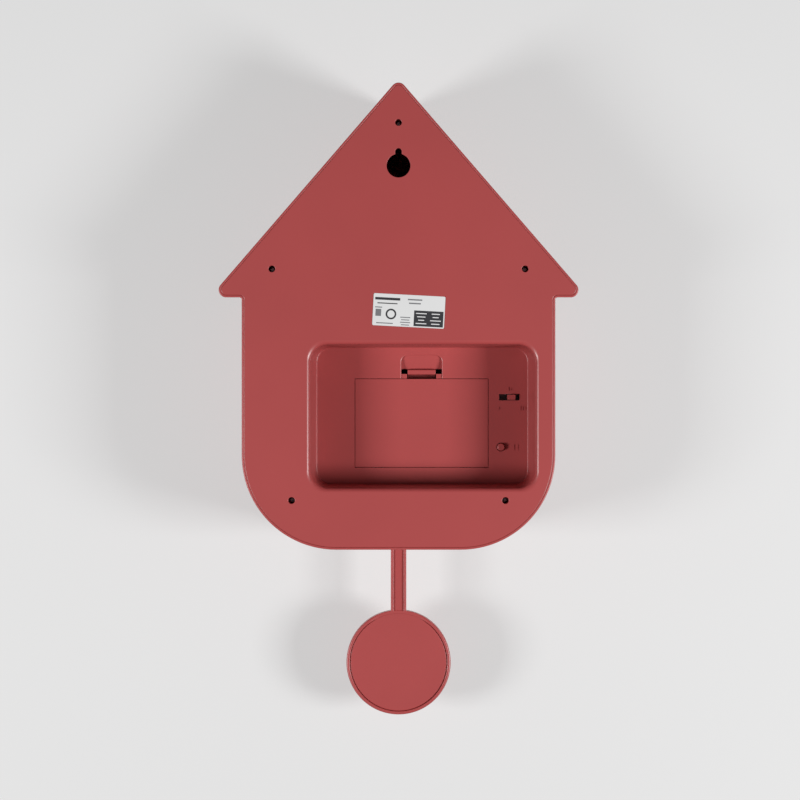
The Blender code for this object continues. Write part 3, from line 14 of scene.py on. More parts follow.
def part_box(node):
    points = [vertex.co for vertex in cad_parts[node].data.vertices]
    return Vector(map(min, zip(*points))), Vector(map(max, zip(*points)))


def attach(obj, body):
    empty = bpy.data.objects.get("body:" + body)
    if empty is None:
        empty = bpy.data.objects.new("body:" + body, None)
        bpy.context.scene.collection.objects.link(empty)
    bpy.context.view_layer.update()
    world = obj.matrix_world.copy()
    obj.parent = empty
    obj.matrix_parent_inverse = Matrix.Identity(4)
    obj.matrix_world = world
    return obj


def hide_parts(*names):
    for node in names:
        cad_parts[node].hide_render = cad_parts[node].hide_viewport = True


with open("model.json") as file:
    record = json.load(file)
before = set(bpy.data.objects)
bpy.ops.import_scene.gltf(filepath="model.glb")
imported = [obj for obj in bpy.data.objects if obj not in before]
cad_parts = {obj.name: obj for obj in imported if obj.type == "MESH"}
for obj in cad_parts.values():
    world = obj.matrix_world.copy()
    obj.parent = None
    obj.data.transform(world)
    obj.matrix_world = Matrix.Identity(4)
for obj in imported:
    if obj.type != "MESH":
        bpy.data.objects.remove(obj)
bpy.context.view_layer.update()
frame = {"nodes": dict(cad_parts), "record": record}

MM = 0.001
BODY_OF = {node: body for body, nodes in frame["record"]["behaviour"]["bodies"].items()
           for node in nodes}
SLOT_OF = {part["node"]: part["material_slot"] for part in frame["record"]["subparts"]}


def box_mm(node):
    """A CAD node's lowest and highest corner as (x, depth, z) in millimetres."""
    low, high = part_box(node)
    return ((low.x / MM, -high.y / MM, low.z / MM), (high.x / MM, -low.y / MM, high.z / MM))


# Sizes read from the frame
SHELL_LOW, SHELL_HIGH = box_mm("front_shell")
DOOR_BOX_LOW, DOOR_BOX_HIGH = box_mm("battery_door")
BOB_LOW, BOB_HIGH = box_mm("pendulum_rod")
LABEL_LOW, LABEL_HIGH = box_mm("rating_label")
KNOB_LOW, KNOB_HIGH = box_mm("switch_knob")
BUTTON_LOW, BUTTON_HIGH = box_mm("set_button")
DIAL_LOW, DIAL_HIGH = box_mm("dial_face")
BIRD_LOW, BIRD_HIGH = box_mm("bird_body")
BIRD_DOOR_LOW, BIRD_DOOR_HIGH = box_mm("bird_door")

PAST = 1.0              # how far a cutter reaches past the face that it cuts

# Housing outline
BODY_DEPTH = SHELL_HIGH[1]
BOTTOM_Z = SHELL_LOW[2]
WALL_HEIGHT = 151.0
EAVES_Z = BOTTOM_Z + WALL_HEIGHT
ROOF_ANGLE = math.radians(40.79)
ROOF_WIDTH = 226.1
APEX_Z = EAVES_Z + ROOF_WIDTH / 2 / math.tan(ROOF_ANGLE)
WALL_WIDTH = 187.7
EDGE_RADIUS = 4.55
BOTTOM_RADIUS = 56.5
EAVES_FILLET = 1.4      # in the corner between eaves and wall

# Shell and cover
SHELL_WALL = 2.0
SHELL_LEAN = math.tan(math.radians(3.0))
RIM = 1.4               # shell's rim round the cover
RIM_ROUND = 0.6
RIM_INNER_ROUND = 0.35
SEAM = 0.04             # shut line between rim and cover
COVER = 2.4
COVER_ROUND = 0.45
LEDGE = COVER + 0.3     # depth of the shell's ledge behind the cover
PANEL = 2.4
PANEL_BACK = BODY_DEPTH - PANEL
FRONT_ROUND = 2.5

# Recess
RECESS_DEPTH = 37.0
FLOOR_BACK = RECESS_DEPTH + COVER
RECESS_LOW = BOTTOM_Z + 34.2
DOOR_WIDTH = DOOR_BOX_HIGH[0] - DOOR_BOX_LOW[0]
DOOR_X = (DOOR_BOX_HIGH[0] + DOOR_BOX_LOW[0]) / 2
DOOR_TOP = DOOR_BOX_HIGH[2]
LIP_BELOW, LIP_ABOVE, LIP_SIDE = 14.1, 23.0, 29.25      # recess lip beyond the battery door
DOOR_LOW = RECESS_LOW + LIP_BELOW
RECESS_X = DOOR_X - 0.4
RECESS_WIDTH = DOOR_WIDTH + 2 * LIP_SIDE
RECESS_HEIGHT = DOOR_TOP - DOOR_LOW + LIP_ABOVE + LIP_BELOW
RECESS_Z = RECESS_LOW + RECESS_HEIGHT / 2
LIP_ROUND = 2.6
LIP_RADIUS = 11.0
FLOOR_RADIUS = 9.0
FLOOR_ROUND = 0.5       # where the walls meet the floor
DRAFT = (5.45, 4.05)    # how far the side walls and the upper and lower walls lean in
SLIT = 0.35

# Finger well over the battery door
WELL_WIDTH = 24.9
WELL_TOP = DOOR_TOP + 14.6
WELL_LIP = DOOR_TOP + 6.1
WELL_LOW = WELL_LIP - 3.0
WELL_FALL = 3.5
WELL_STEP = 0.9
WELL_BACKING = 1.8
WELL_RADIUS = 4.0
WELL_MOUTH = [(0.7, -1.0), (0.7, 0.0), (0.35, 0.08), (0.1, 0.3), (0.0, 0.7)]    # (growth, depth)
LATCH_WIDTH = 17.2

# Screws
EAVE_SCREW = (75.8, EAVES_Z + 17.1)
FOOT_SCREW = (64.0, BOTTOM_Z + 29.5)
SCREW_PLACES = [(0.0, 17.3), EAVE_SCREW, (-EAVE_SCREW[0], EAVE_SCREW[1]), FOOT_SCREW,
                (-FOOT_SCREW[0], FOOT_SCREW[1])]
WELL_END = 12.0         # depth at which the cover's screw tubes end
TUBE_RADIUS = 3.75
HEAD_HOLE = 2.0
SHANK_HOLE = 1.2
BOSS_RADIUS = 3.25
BOSS_GAP = 0.3
PILOT_RADIUS = 1.2
PILOT_END = 22.0
SCREW_HEAD = 1.85
SCREW_HEAD_HEIGHT = 1.6
SCREW_SHANK = 1.0

# Keyhole, controls and label
KEYHOLE_DROP = 8.5
KEYHOLE_RADIUS = 7.1
KEYHOLE_SLOT = 3.9
SWITCH_X = (KNOB_LOW[0] + KNOB_HIGH[0]) / 2 + 1.2      # middle of the slot, which the knob is off
SWITCH_Z = (KNOB_LOW[2] + KNOB_HIGH[2]) / 2
SWITCH_SLOT = (12.6, 3.9)
BUTTON_X = (BUTTON_LOW[0] + BUTTON_HIGH[0]) / 2
BUTTON_Z = (BUTTON_LOW[2] + BUTTON_HIGH[2]) / 2
BUTTON_HOLE = 2.75
MARK_HEIGHT = 0.45
MARK_ROOT = 0.3         # how far a moulded mark reaches into the floor
MARK_WIDTH = 0.6
LABEL_SIZE = (43.0, 19.2)
LABEL_PLAY = 0.3
LABEL_TILT = math.radians(3.0)

# Bird door and dial
SILL_Z = BIRD_DOOR_LOW[2] - SLIT
BIRD_DOOR_HEIGHT = BIRD_DOOR_HIGH[2] - BIRD_DOOR_LOW[2] + 2 * SLIT
BIRD_DOOR_WIDTH = 2 * (BIRD_DOOR_HIGH[0] + SLIT)
BIRD_DOOR_CHAMFER = 0.4
DIAL_Z = (DIAL_LOW[2] + DIAL_HIGH[2]) / 2
DIAL_THICK = 1.0
DIAL_ROUND = 0.5
DIAL_MARK = (2.4, 7.0, 11.2)    # width, length, and length at the quarters
DIAL_MARGIN = 4.0
BUSH_HOLE = 4.2

# Pendulum
BOB_RADIUS = BOB_HIGH[0]
BOB_Z = BOB_LOW[2] + BOB_RADIUS
BOB_BACK = BOB_LOW[1]
BOB_THICK = 9.0
BOB_FLOOR = 2.0
BOB_RIM = 2.1
BOB_SINK = 0.9          # depth of the disc behind the bob's rim
BOB_PLAY = 0.04         # gap between rim and disc
RIM_FADE = 1.2          # depth over which the bob's rim sinks at the neck
ROD_BACK = BOB_BACK + 0.2
ROD_THICK = 4.0
ROD_WIDTH = 9.75
ROD_RIM = 1.75
ROD_ROUND = 0.4
ROD_CHANNEL = 1.2
ROD_TOP = BOB_HIGH[2]
PEG_Z = ROD_TOP - 5.0
PEG_HOLE = 1.7
SWING_ROOM = 11.54      # half the rod slot in the shell's bottom
SLOT_PLAY = 2.0

# Stage, in metres
CAMERA_DISTANCE = 1.3
VIEW_WIDTH = 0.4785     # what the camera sees across at the back plane
SENSOR = 36.0
LIT_POINT = Vector((0, -0.04, -0.15))
LIGHTS = [              # name, direction, distance, size, watts
    ("light_left", (1.1, 1.0, -0.28), 1.5, (0.45, 0.36), 14.0),
    ("light_right", (-1.1, 1.0, -0.28), 1.5, (0.45, 0.36), 17.4),
    ("light_front_left", (-0.5, -0.9, 0.6), 1.6, (0.9, 0.9), 20.0),
    ("light_front_right", (0.7, -0.8, 0.3), 1.6, (0.9, 0.9), 14.0),
]


# Outlines, as lists of (x, z)

def quarter(steps, first=0):
    """Sine and cosine at equal steps of a quarter turn."""
    angles = [math.pi / 2 * step / steps for step in range(first, steps + 1)]
    return [(math.sin(angle), math.cos(angle)) for angle in angles]


def fillet(before, corner, after, radius, steps):
    """Points of the arc that rounds a corner, from the side of `before` to the side of `after`."""
    here = Vector(corner)
    back = (Vector(before) - here).normalized()
    ahead = (Vector(after) - here).normalized()
    half = back.angle(ahead) / 2
    middle = here + (back + ahead).normalized() * radius / math.sin(half)
    arm = here + back * radius / math.tan(half) - middle
    sweep = math.pi - 2 * half
    turn = 1 if back.x * ahead.y - back.y * ahead.x < 0 else -1
    points = []
    for step in range(steps + 1):
        angle = turn * sweep * step / steps
        c, s = math.cos(angle), math.sin(angle)
        points.append((middle.x + c * arm.x - s * arm.y, middle.y + s * arm.x + c * arm.y))
    return points


def rounded(corners):
    """Outline through (x, z, radius, arc steps) corners; a radius of 0 stays sharp."""
    points = []
    for index, (x, z, radius, steps) in enumerate(corners):
        if radius == 0:
            points.append((x, z))
            continue
        before = corners[index - 1][:2]
        after = corners[(index + 1) % len(corners)][:2]
        points += fillet(before, (x, z), after, radius, steps)
    return points


def house(inset):
    """The housing's outline, moved in by `inset`."""
    wall = WALL_WIDTH / 2 - inset
    eaves = EAVES_Z + inset
    apex = APEX_Z - inset / math.sin(ROOF_ANGLE)
    tip = (apex - eaves) * math.tan(ROOF_ANGLE)
    edge = max(EDGE_RADIUS - inset, 0.5)
    right = [(wall, BOTTOM_Z + inset, BOTTOM_RADIUS - inset, 32),
             (wall, eaves, EAVES_FILLET + inset, 8), (tip, eaves, edge, 12)]
    left = [(-x, z, radius, steps) for x, z, radius, steps in reversed(right)]
    return rounded(right + [(0.0, apex, edge, 12)] + left)


def rectangle(x, z, width, height, radius=0.0, steps=8):
    w, h = width / 2, height / 2
    places = [(x - w, z - h), (x + w, z - h), (x + w, z + h), (x - w, z + h)]
    return rounded([(px, pz, radius, steps) for px, pz in places])


def circle(x, z, radius, sides):
    angles = [2 * math.pi * n / sides for n in range(sides)]
    return [(x + radius * math.cos(a), z + radius * math.sin(a)) for a in angles]


# Solids

def solid(name, points, faces):
    """Closed mesh from (x, depth, z) points, with its faces turned outwards."""
    mesh = bpy.data.meshes.new(name)
    mesh.from_pydata([Vector((x, -depth, z)) * MM for x, depth, z in points], [], faces)
    shape = bmesh.new()
    shape.from_mesh(mesh)
    bmesh.ops.recalc_face_normals(shape, faces=shape.faces)
    shape.to_mesh(mesh)
    shape.free()
    thing = bpy.data.objects.new(name, mesh)
    bpy.context.scene.collection.objects.link(thing)
    return thing


def loft(name, rings):
    """Skin over rings of equally many points, capped at both ends."""
    count = len(rings[0])
    points = [point for ring in rings for point in ring]
    faces = [list(range(count)), list(range(len(points) - count, len(points)))]
    for level in range(len(rings) - 1):
        low = level * count
        for n in range(count):
            m = (n + 1) % count
            faces.append((low + n, low + m, low + count + m, low + count + n))
    return solid(name, points, faces)


def at_depth(outline, depth):
    return [(x, depth, z) for x, z in outline]


def stack(name, levels):
    """Skin over (outline, depth) levels."""
    return loft(name, [at_depth(outline, depth) for outline, depth in levels])


def plate(name, outline, back, front):
    return stack(name, [(outline, back), (outline, front)])


def bar(name, section, left, right):
    """A section of (depth, z) points, extruded along x."""
    return loft(name, [[(x, depth, z) for depth, z in section] for x in (left, right)])


def column(name, section, low, high):
    """A section of (x, depth) points, extruded along z."""
    return loft(name, [[(x, depth, z) for x, depth in section] for z in (low, high)])


def block(name, x, depth, z):
    return plate(name, [(x[0], z[0]), (x[1], z[0]), (x[1], z[1]), (x[0], z[1])], *depth)


def turned(name, profile, centre, axis="depth", sides=48):
    """Profile of (radius, place) points turned about an axis through `centre`."""
    points, rings = [], []
    for radius, place in profile:
        ring = []
        for n in range(sides if radius > 0 else 1):
            angle = 2 * math.pi * n / sides
            a, b = radius * math.cos(angle), radius * math.sin(angle)
            offset = {"depth": (a, place, b), "x": (place, a, b), "z": (a, b, place)}[axis]
            ring.append(len(points))
            points.append(tuple(c + o for c, o in zip(centre, offset)))
        rings.append(ring)
    faces = []
    for one, two in zip(rings, rings[1:]):
        for n in range(sides):
            m = (n + 1) % sides
            quad = [one[n % len(one)], one[m % len(one)], two[m % len(two)], two[n % len(two)]]
            face = list(dict.fromkeys(quad))
            if len(face) > 2:
                faces.append(face)
    return solid(name, points, faces)


def rod(name, centre, radius, start, end, axis="depth", sides=48):
    profile = [(0, start), (radius, start), (radius, end), (0, end)]
    return turned(name, profile, centre, axis, sides)


def flared(name, place, radius, end, flare):
    """Round cutter whose mouth at depth 0 opens in a small round."""
    profile = [(0, -PAST), (radius + flare, -PAST), (radius + flare, 0)]
    profile += [(radius + flare * (1 - s), flare * (1 - c)) for s, c in quarter(3, 1)]
    profile += [(radius, end), (0, end)]
    return turned(name, profile, (place[0], 0, place[1]))


def applied(thing):
    """The same object, with its modifiers worked into its mesh."""
    graph = bpy.context.evaluated_depsgraph_get()
    mesh = bpy.data.meshes.new_from_object(thing.evaluated_get(graph))
    thing.modifiers.clear()
    thing.data = mesh
    return thing


def boolean(target, tools, operation):
    """Joins, cuts or intersects each tool in turn, and removes it."""
    for tool in tools:
        change = target.modifiers.new(operation, "BOOLEAN")
        change.operation = operation
        change.solver = "EXACT"
        change.object = tool
        applied(target)
        bpy.data.objects.remove(tool)
    return target


def join(target, *tools):
    return boolean(target, tools, "UNION")


def cut(target, *tools):
    return boolean(target, tools, "DIFFERENCE")


def soften(thing, width):
    """Rounds the sharp edges by `width` millimetres."""
    shape = bmesh.new()
    shape.from_mesh(thing.data)
    bmesh.ops.remove_doubles(shape, verts=shape.verts, dist=1e-6)
    bmesh.ops.dissolve_limit(shape, angle_limit=math.radians(0.6), verts=shape.verts,
                             edges=shape.edges)
    layer = shape.edges.layers.float.new("bevel_weight_edge")
    sharp_angle = math.radians(35.0)
    for edge in shape.edges:
        sharp = len(edge.link_faces) == 2 and edge.calc_face_angle(0.0) > sharp_angle
        edge[layer] = 1.0 if sharp else 0.0
    shape.to_mesh(thing.data)
    shape.free()
    change = thing.modifiers.new("round", "BEVEL")
    change.limit_method = "WEIGHT"
    change.width = width * MM
    change.segments = 2
    change.use_clamp_overlap = True
    return applied(thing)


# Materials

class Nodes:
    """Short way to wire a material's nodes."""

    def __init__(self, name):
        self.material = bpy.data.materials.new(name)
        self.material.use_nodes = True
        self.tree = self.material.node_tree
        self.shader = self.tree.nodes["Principled BSDF"]
        self.place = self.add("ShaderNodeTexCoord").outputs["Object"]

    def add(self, kind, **values):
        node = self.tree.nodes.new(kind)
        for key, value in values.items():
            setattr(node, key, value)
        return node

    def link(self, start, end):
        self.tree.links.new(start, end)

    def noise(self, scale, detail=3.0):
        node = self.add("ShaderNodeTexNoise")
        node.inputs["Scale"].default_value = scale
        node.inputs["Detail"].default_value = detail
        node.inputs["Roughness"].default_value = 0.55
        self.link(self.place, node.inputs["Vector"])
        return node.outputs["Fac"]

    def remap(self, value, source, target):
        """Carries the range `source` over to the range `target`."""
        node = self.add("ShaderNodeMapRange")
        self.link(value, node.inputs["Value"])
        for key, number in zip(("From Min", "From Max", "To Min", "To Max"), (*source, *target)):
            node.inputs[key].default_value = number
        return node.outputs["Result"]

    def mix(self, share, one, two):
        node = self.add("ShaderNodeMix", data_type="RGBA")
        self.link(share, node.inputs["Factor"])
        for socket, value in ((node.inputs[6], one), (node.inputs[7], two)):
            if isinstance(value, tuple):
                socket.default_value = (*value, 1.0)
            else:
                self.link(value, socket)
        return node.outputs[2]

    def bump(self, height, strength, distance, normal=None):
        node = self.add("ShaderNodeBump")
        node.inputs["Strength"].default_value = strength
        node.inputs["Distance"].default_value = distance
        self.link(height, node.inputs["Height"])
        if normal is not None:
            self.link(normal, node.inputs["Normal"])
        return node.outputs["Normal"]

    def edges(self):
        """Share of 1 along edges, for wear: where a rounded normal leaves the surface's own."""
        round_off = self.add("ShaderNodeBevel", samples=4)
        round_off.inputs["Radius"].default_value = 0.0005
        agree = self.add("ShaderNodeVectorMath", operation="DOT_PRODUCT")
        self.link(round_off.outputs["Normal"], agree.inputs[0])
        self.link(self.add("ShaderNodeNewGeometry").outputs["Normal"], agree.inputs[1])
        return self.remap(agree.outputs["Value"], (0.995, 0.9), (0.0, 1.0))


def scaled(colour, factor):
    return tuple(min(1.0, c * factor) for c in colour)


def moulded_plastic(name, colour, roughness, grain, spread=0.05, wear=0.25, specular=0.5):
    """Moulded plastic: fine spark-eroded grain, slow colour drift, slightly paler worn edges."""
    m = Nodes(name)
    drift = m.noise(14.0, 2.0)
    base = m.mix(m.remap(drift, (0.3, 0.7), (0.0, 1.0)), scaled(colour, 1 - spread),
                 scaled(colour, 1 + spread))
    specks = m.remap(m.noise(2600.0, 2.0), (0.35, 0.65), (0.0, 1.0))
    base = m.mix(m.remap(specks, (0.0, 1.0), (0.0, 0.10)), base, scaled(colour, 0.8))
    base = m.mix(m.remap(m.edges(), (0.0, 1.0), (0.0, wear)), base, scaled(colour, 1.35))
    m.link(base, m.shader.inputs["Base Color"])
    m.link(m.remap(m.noise(300.0), (0.3, 0.7), (roughness - 0.006, roughness + 0.008)),
           m.shader.inputs["Roughness"])
    m.shader.inputs["Specular IOR Level"].default_value = specular
    low = m.bump(m.noise(30.0, 1.0), 0.015, 0.0002)
    m.link(m.bump(m.noise(3200.0, 2.0), grain, 0.00006, low), m.shader.inputs["Normal"])
    return m.material


def metal(name, colour, roughness):
    """Plated or machined metal with fine tool marks and a slight tarnish."""
    m = Nodes(name)
    tarnish = m.remap(m.noise(180.0, 4.0), (0.35, 0.7), (0.0, 1.0))
    m.link(m.mix(tarnish, colour, scaled(colour, 0.78)), m.shader.inputs["Base Color"])
    m.shader.inputs["Metallic"].default_value = 1.0
    stretch = m.add("ShaderNodeMapping")
    stretch.inputs["Scale"].default_value = (1.0, 1.0, 0.06)
    m.link(m.place, stretch.inputs["Vector"])
    marks = m.add("ShaderNodeTexNoise")
    marks.inputs["Scale"].default_value = 900.0
    m.link(stretch.outputs["Vector"], marks.inputs["Vector"])
    m.link(m.remap(marks.outputs["Fac"], (0.3, 0.7), (roughness - 0.06, roughness + 0.1)),
           m.shader.inputs["Roughness"])
    m.link(m.bump(marks.outputs["Fac"], 0.15, 0.00004), m.shader.inputs["Normal"])
    return m.material


def woven_board(name):
    """Green circuit board with its glass weave faintly showing."""
    m = Nodes(name)
    weave = m.add("ShaderNodeTexBrick")
    weave.inputs["Scale"].default_value = 160.0
    for key, colour in (("Color1", (0.02, 0.15, 0.06)), ("Color2", (0.025, 0.19, 0.075)),
                        ("Mortar", (0.035, 0.24, 0.09))):
        weave.inputs[key].default_value = (*colour, 1.0)
    m.link(m.place, weave.inputs["Vector"])
    m.link(weave.outputs["Color"], m.shader.inputs["Base Color"])
    m.link(m.remap(m.noise(300.0), (0.3, 0.7), (0.28, 0.42)), m.shader.inputs["Roughness"])
    m.link(m.bump(weave.outputs["Fac"], 0.1, 0.00005), m.shader.inputs["Normal"])
    return m.material


MATERIAL = {
    "red_plastic": moulded_plastic("red_plastic", (0.425, 0.067, 0.066), 0.36, 0.04, spread=0.03,
                                   wear=0.2, specular=0.8),
    "black_plastic": moulded_plastic("black_plastic", (0.022, 0.022, 0.024), 0.4, 0.15, spread=0.1),
    "grey_plastic": moulded_plastic("grey_plastic", (0.3, 0.3, 0.31), 0.45, 0.12),
    "white_plastic": moulded_plastic("white_plastic", (0.76, 0.75, 0.72), 0.4, 0.08, spread=0.03),
    "yellow_plastic": moulded_plastic("yellow_plastic", (0.82, 0.4, 0.04), 0.4, 0.08, spread=0.04),
    "steel": metal("steel", (0.6, 0.6, 0.62), 0.28),
    "brass": metal("brass", (0.72, 0.52, 0.24), 0.25),
    "label_film": moulded_plastic("label_film", (0.78, 0.78, 0.78), 0.38, 0.05, spread=0.02,
                                  wear=0.0),
    "board_green": woven_board("board_green"),
    "cell_jacket": moulded_plastic("cell_jacket", (0.06, 0.065, 0.08), 0.25, 0.03, spread=0.08,
                                   wear=0.1),
}
INK = moulded_plastic("label_ink", (0.035, 0.035, 0.04), 0.45, 0.05, spread=0.1, wear=0.0)
INK_GREY = moulded_plastic("label_ink_grey", (0.2, 0.2, 0.21), 0.45, 0.05, spread=0.1, wear=0.0)
JACKET_BAND = moulded_plastic("cell_band", (0.62, 0.36, 0.12), 0.3, 0.03, spread=0.05, wear=0.1)


def finish(thing, node, material=None, smooth=32.0, stands_for=True):
    """Shades a piece, gives it its material, and hangs it on its CAD body."""
    thing.data.materials.clear()
    thing.data.materials.append(material or MATERIAL[SLOT_OF[node]])
    thing.data.shade_smooth()
    thing.data.set_sharp_from_angle(angle=math.radians(smooth))
    even = thing.modifiers.new("even", "WEIGHTED_NORMAL")
    even.keep_sharp = True
    applied(thing)
    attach(thing, BODY_OF[node])
    if stands_for:
        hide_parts(node)


def refined(node, width):
    """A copy of a CAD node with its sharp edges rounded."""
    source = frame["nodes"][node]
    thing = bpy.data.objects.new(f"{node}_fine", source.data.copy())
    bpy.context.scene.collection.objects.link(thing)
    finish(soften(thing, width), node)


# Housing

def shell():
    """The red shell in one skin: inside with its ledge, rounded rim, leaning walls, round front."""
    levels = [(SHELL_WALL + SHELL_LEAN * PANEL_BACK, PANEL_BACK),
              (SHELL_WALL + SHELL_LEAN * LEDGE, LEDGE), (RIM, LEDGE), (RIM, RIM_INNER_ROUND)]
    levels += [(RIM - RIM_INNER_ROUND * (1 - c), RIM_INNER_ROUND * (1 - s))
               for s, c in quarter(3, 1)]
    levels += [(RIM_ROUND * (1 - s), RIM_ROUND * (1 - c)) for s, c in quarter(6)]
    for s, c in quarter(8):
        depth = BODY_DEPTH - FRONT_ROUND * (1 - s)
        levels.append((SHELL_LEAN * depth + FRONT_ROUND * (1 - c), depth))
    thing = stack("shell", [(house(inset), depth) for inset, depth in levels])
    join(thing, *[rod("boss", (x, 0, z), BOSS_RADIUS, WELL_END + BOSS_GAP, PANEL_BACK + PAST,
                      sides=32) for x, z in SCREW_PLACES])
    cut(thing, *[rod("pilot", (x, 0, z), PILOT_RADIUS, WELL_END, PILOT_END, sides=24)
                 for x, z in SCREW_PLACES])

    middle = (0, SILL_Z + BIRD_DOOR_HEIGHT / 2)
    opening = rectangle(*middle, BIRD_DOOR_WIDTH, BIRD_DOOR_HEIGHT)
    grown = rectangle(*middle, BIRD_DOOR_WIDTH + 2 * BIRD_DOOR_CHAMFER,
                      BIRD_DOOR_HEIGHT + 2 * BIRD_DOOR_CHAMFER)
    cut(thing, stack("opening", [(opening, PANEL_BACK - PAST),
                                 (opening, BODY_DEPTH - BIRD_DOOR_CHAMFER),
                                 (grown, BODY_DEPTH), (grown, BODY_DEPTH + PAST)]))
    cut(thing, rod("bush_hole", (0, 0, DIAL_Z), BUSH_HOLE, PANEL_BACK - PAST, BODY_DEPTH + PAST))
    outline = rectangle(0, 0, 2 * SWING_ROOM, ROD_THICK + 2 * SLOT_PLAY, SLOT_PLAY, 6)
    slot = [(x, ROD_BACK + ROD_THICK / 2 + depth) for x, depth in outline]
    cut(thing, column("rod_slot", slot, BOTTOM_Z - PAST,
                      BOTTOM_Z + SHELL_LEAN * BODY_DEPTH + SHELL_WALL))
    finish(thing, "front_shell")


def recess_rings(wall=0.0):
    """Rings of the recess from its rounded lip to its floor, grown by a wall's thickness."""
    levels = [(LIP_ROUND * s, LIP_ROUND * s, LIP_ROUND * (1 - c), LIP_RADIUS)
              for s, c in quarter(8)]
    for s, c in quarter(4):
        inward = FLOOR_ROUND * (1 - c)
        levels.append((DRAFT[0] - FLOOR_ROUND + inward, DRAFT[1] - FLOOR_ROUND + inward,
                       RECESS_DEPTH - FLOOR_ROUND * (1 - s), FLOOR_RADIUS))
    rings = []
    for side, height, depth, radius in levels:
        outline = rectangle(RECESS_X, RECESS_Z, RECESS_WIDTH + 2 * (wall - side),
                            RECESS_HEIGHT + 2 * (wall - height), radius + wall, 14)
        rings.append(at_depth(outline, depth))
    return rings


def keyhole(grow=0.0):
    """Round hole with a slot that ends in a half circle round the origin."""
    half = KEYHOLE_SLOT / 2 + grow
    radius = KEYHOLE_RADIUS + grow
    start = math.acos(half / radius)
    points = []
    for n in range(61):
        angle = math.pi - start + (math.pi + 2 * start) * n / 60
        points.append((radius * math.cos(angle), radius * math.sin(angle) - KEYHOLE_DROP))
    for n in range(17):
        angle = math.pi * n / 16
        points.append((half * math.cos(angle), half * math.sin(angle)))
    return points


def well_mouth(name, low, deep):
    """Soft-rimmed cutter into the recess floor, with round upper corners."""
    def outline(grow):
        half = WELL_WIDTH / 2 + grow
        top, radius = WELL_TOP + grow, WELL_RADIUS + grow
        corners = [(-half, low, 0, 0), (half, low, 0, 0), (half, top, radius, 8),
                   (-half, top, radius, 8)]
        return [(x + DOOR_X, z) for x, z in rounded(corners)]

    return stack(name, [(outline(grow), RECESS_DEPTH + depth)
                        for grow, depth in WELL_MOUTH + [(0.0, deep)]])


def finger_well():
    """Cutters of the sloping scoop above the battery door, and of the step down to the door."""
    sides = (DOOR_X - WELL_WIDTH, DOOR_X + WELL_WIDTH)
    above = WELL_TOP + 2.0
    below = WELL_LOW - 1.0
    outside = RECESS_DEPTH - 2.0
    deep = RECESS_DEPTH + 2 * WELL_FALL
    slope = [(outside, above), (RECESS_DEPTH + 1.0, above), (RECESS_DEPTH + 1.2, WELL_TOP - 0.5),
             (RECESS_DEPTH + WELL_FALL, WELL_LIP), (deep, WELL_LIP), (deep, below),
             (outside, below)]
    scoop = boolean(well_mouth("well", WELL_LOW, 2 * WELL_FALL), [bar("slope", slope, *sides)],
                    "INTERSECT")
    reach = block("step", sides, (outside, RECESS_DEPTH + 2.0), (DOOR_TOP - 1.0, WELL_LOW + 0.1))
    step = boolean(well_mouth("well_step", DOOR_TOP - 0.2, WELL_STEP), [reach], "INTERSECT")
    return scoop, step


def cover():
    """The back cover with its deep recess, keyhole, screw tubes and control openings."""
    inset = RIM + SEAM
    levels = [(inset + COVER_ROUND * (1 - s), COVER_ROUND * (1 - c)) for s, c in quarter(4)]
    levels.append((inset, COVER))
    thing = stack("cover", [(house(grow), depth) for grow, depth in levels])
    outer = recess_rings(COVER)
    first = [(x, COVER / 2, z) for x, _, z in outer[8]]
    last = [(x, FLOOR_BACK, z) for x, _, z in outer[-1]]
    join(thing, loft("recess", [first, last]))
    join(thing, *[rod("tube", (x, 0, z), TUBE_RADIUS, COVER / 2, WELL_END, sides=40)
                  for x, z in SCREW_PLACES])
    half = WELL_WIDTH / 2
    join(thing, block("backing", (DOOR_X - half - COVER, DOOR_X + half + COVER),
                      (RECESS_DEPTH + COVER / 2, RECESS_DEPTH + WELL_FALL + WELL_BACKING),
                      (WELL_LIP, WELL_TOP + WELL_BACKING)))
    inner = recess_rings()
    inner.insert(0, [(x, -PAST, z) for x, _, z in inner[0]])
    cut(thing, loft("pocket", inner))
    cut(thing, *finger_well())

    through = (RECESS_DEPTH - PAST, FLOOR_BACK + 5.0)
    half = LATCH_WIDTH / 2 + SLIT
    cut(thing, block("latch_slot", (DOOR_X - half, DOOR_X + half), through,
                     (DOOR_TOP, WELL_LIP - 1.0)))
    door = rectangle(DOOR_X, (DOOR_LOW + DOOR_TOP) / 2, DOOR_WIDTH + 2 * SLIT,
                     DOOR_TOP - DOOR_LOW + 2 * SLIT)
    cut(thing, plate("door_opening", door, *through))
    cut(thing, plate("switch_slot", rectangle(SWITCH_X, SWITCH_Z, *SWITCH_SLOT, 0.4, 4), *through))
    cut(thing, rod("button_hole", (BUTTON_X, 0, BUTTON_Z), BUTTON_HOLE, *through))
    cut(thing, stack("keyhole", [(keyhole(0.4), -PAST), (keyhole(0.4), 0.0),
                                 (keyhole(0.12), 0.12), (keyhole(), 0.4),
                                 (keyhole(), COVER + PAST)]))
    for x, z in SCREW_PLACES:
        cut(thing, flared("head_hole", (x, z), HEAD_HOLE, WELL_END - 2.0, 0.3))
        cut(thing, rod("shank_hole", (x, 0, z), SHANK_HOLE, 1.0, WELL_END + PAST, sides=24))
    pocket = rectangle(0, 0, LABEL_SIZE[0] + LABEL_PLAY, LABEL_SIZE[1] + LABEL_PLAY, 0.95, 6)
    pocket = plate("label_pocket", pocket, -PAST, LABEL_HIGH[1] + 0.1)
    pocket.data.transform(label_place())
    cut(thing, pocket)
    finish(thing, "back_cover")


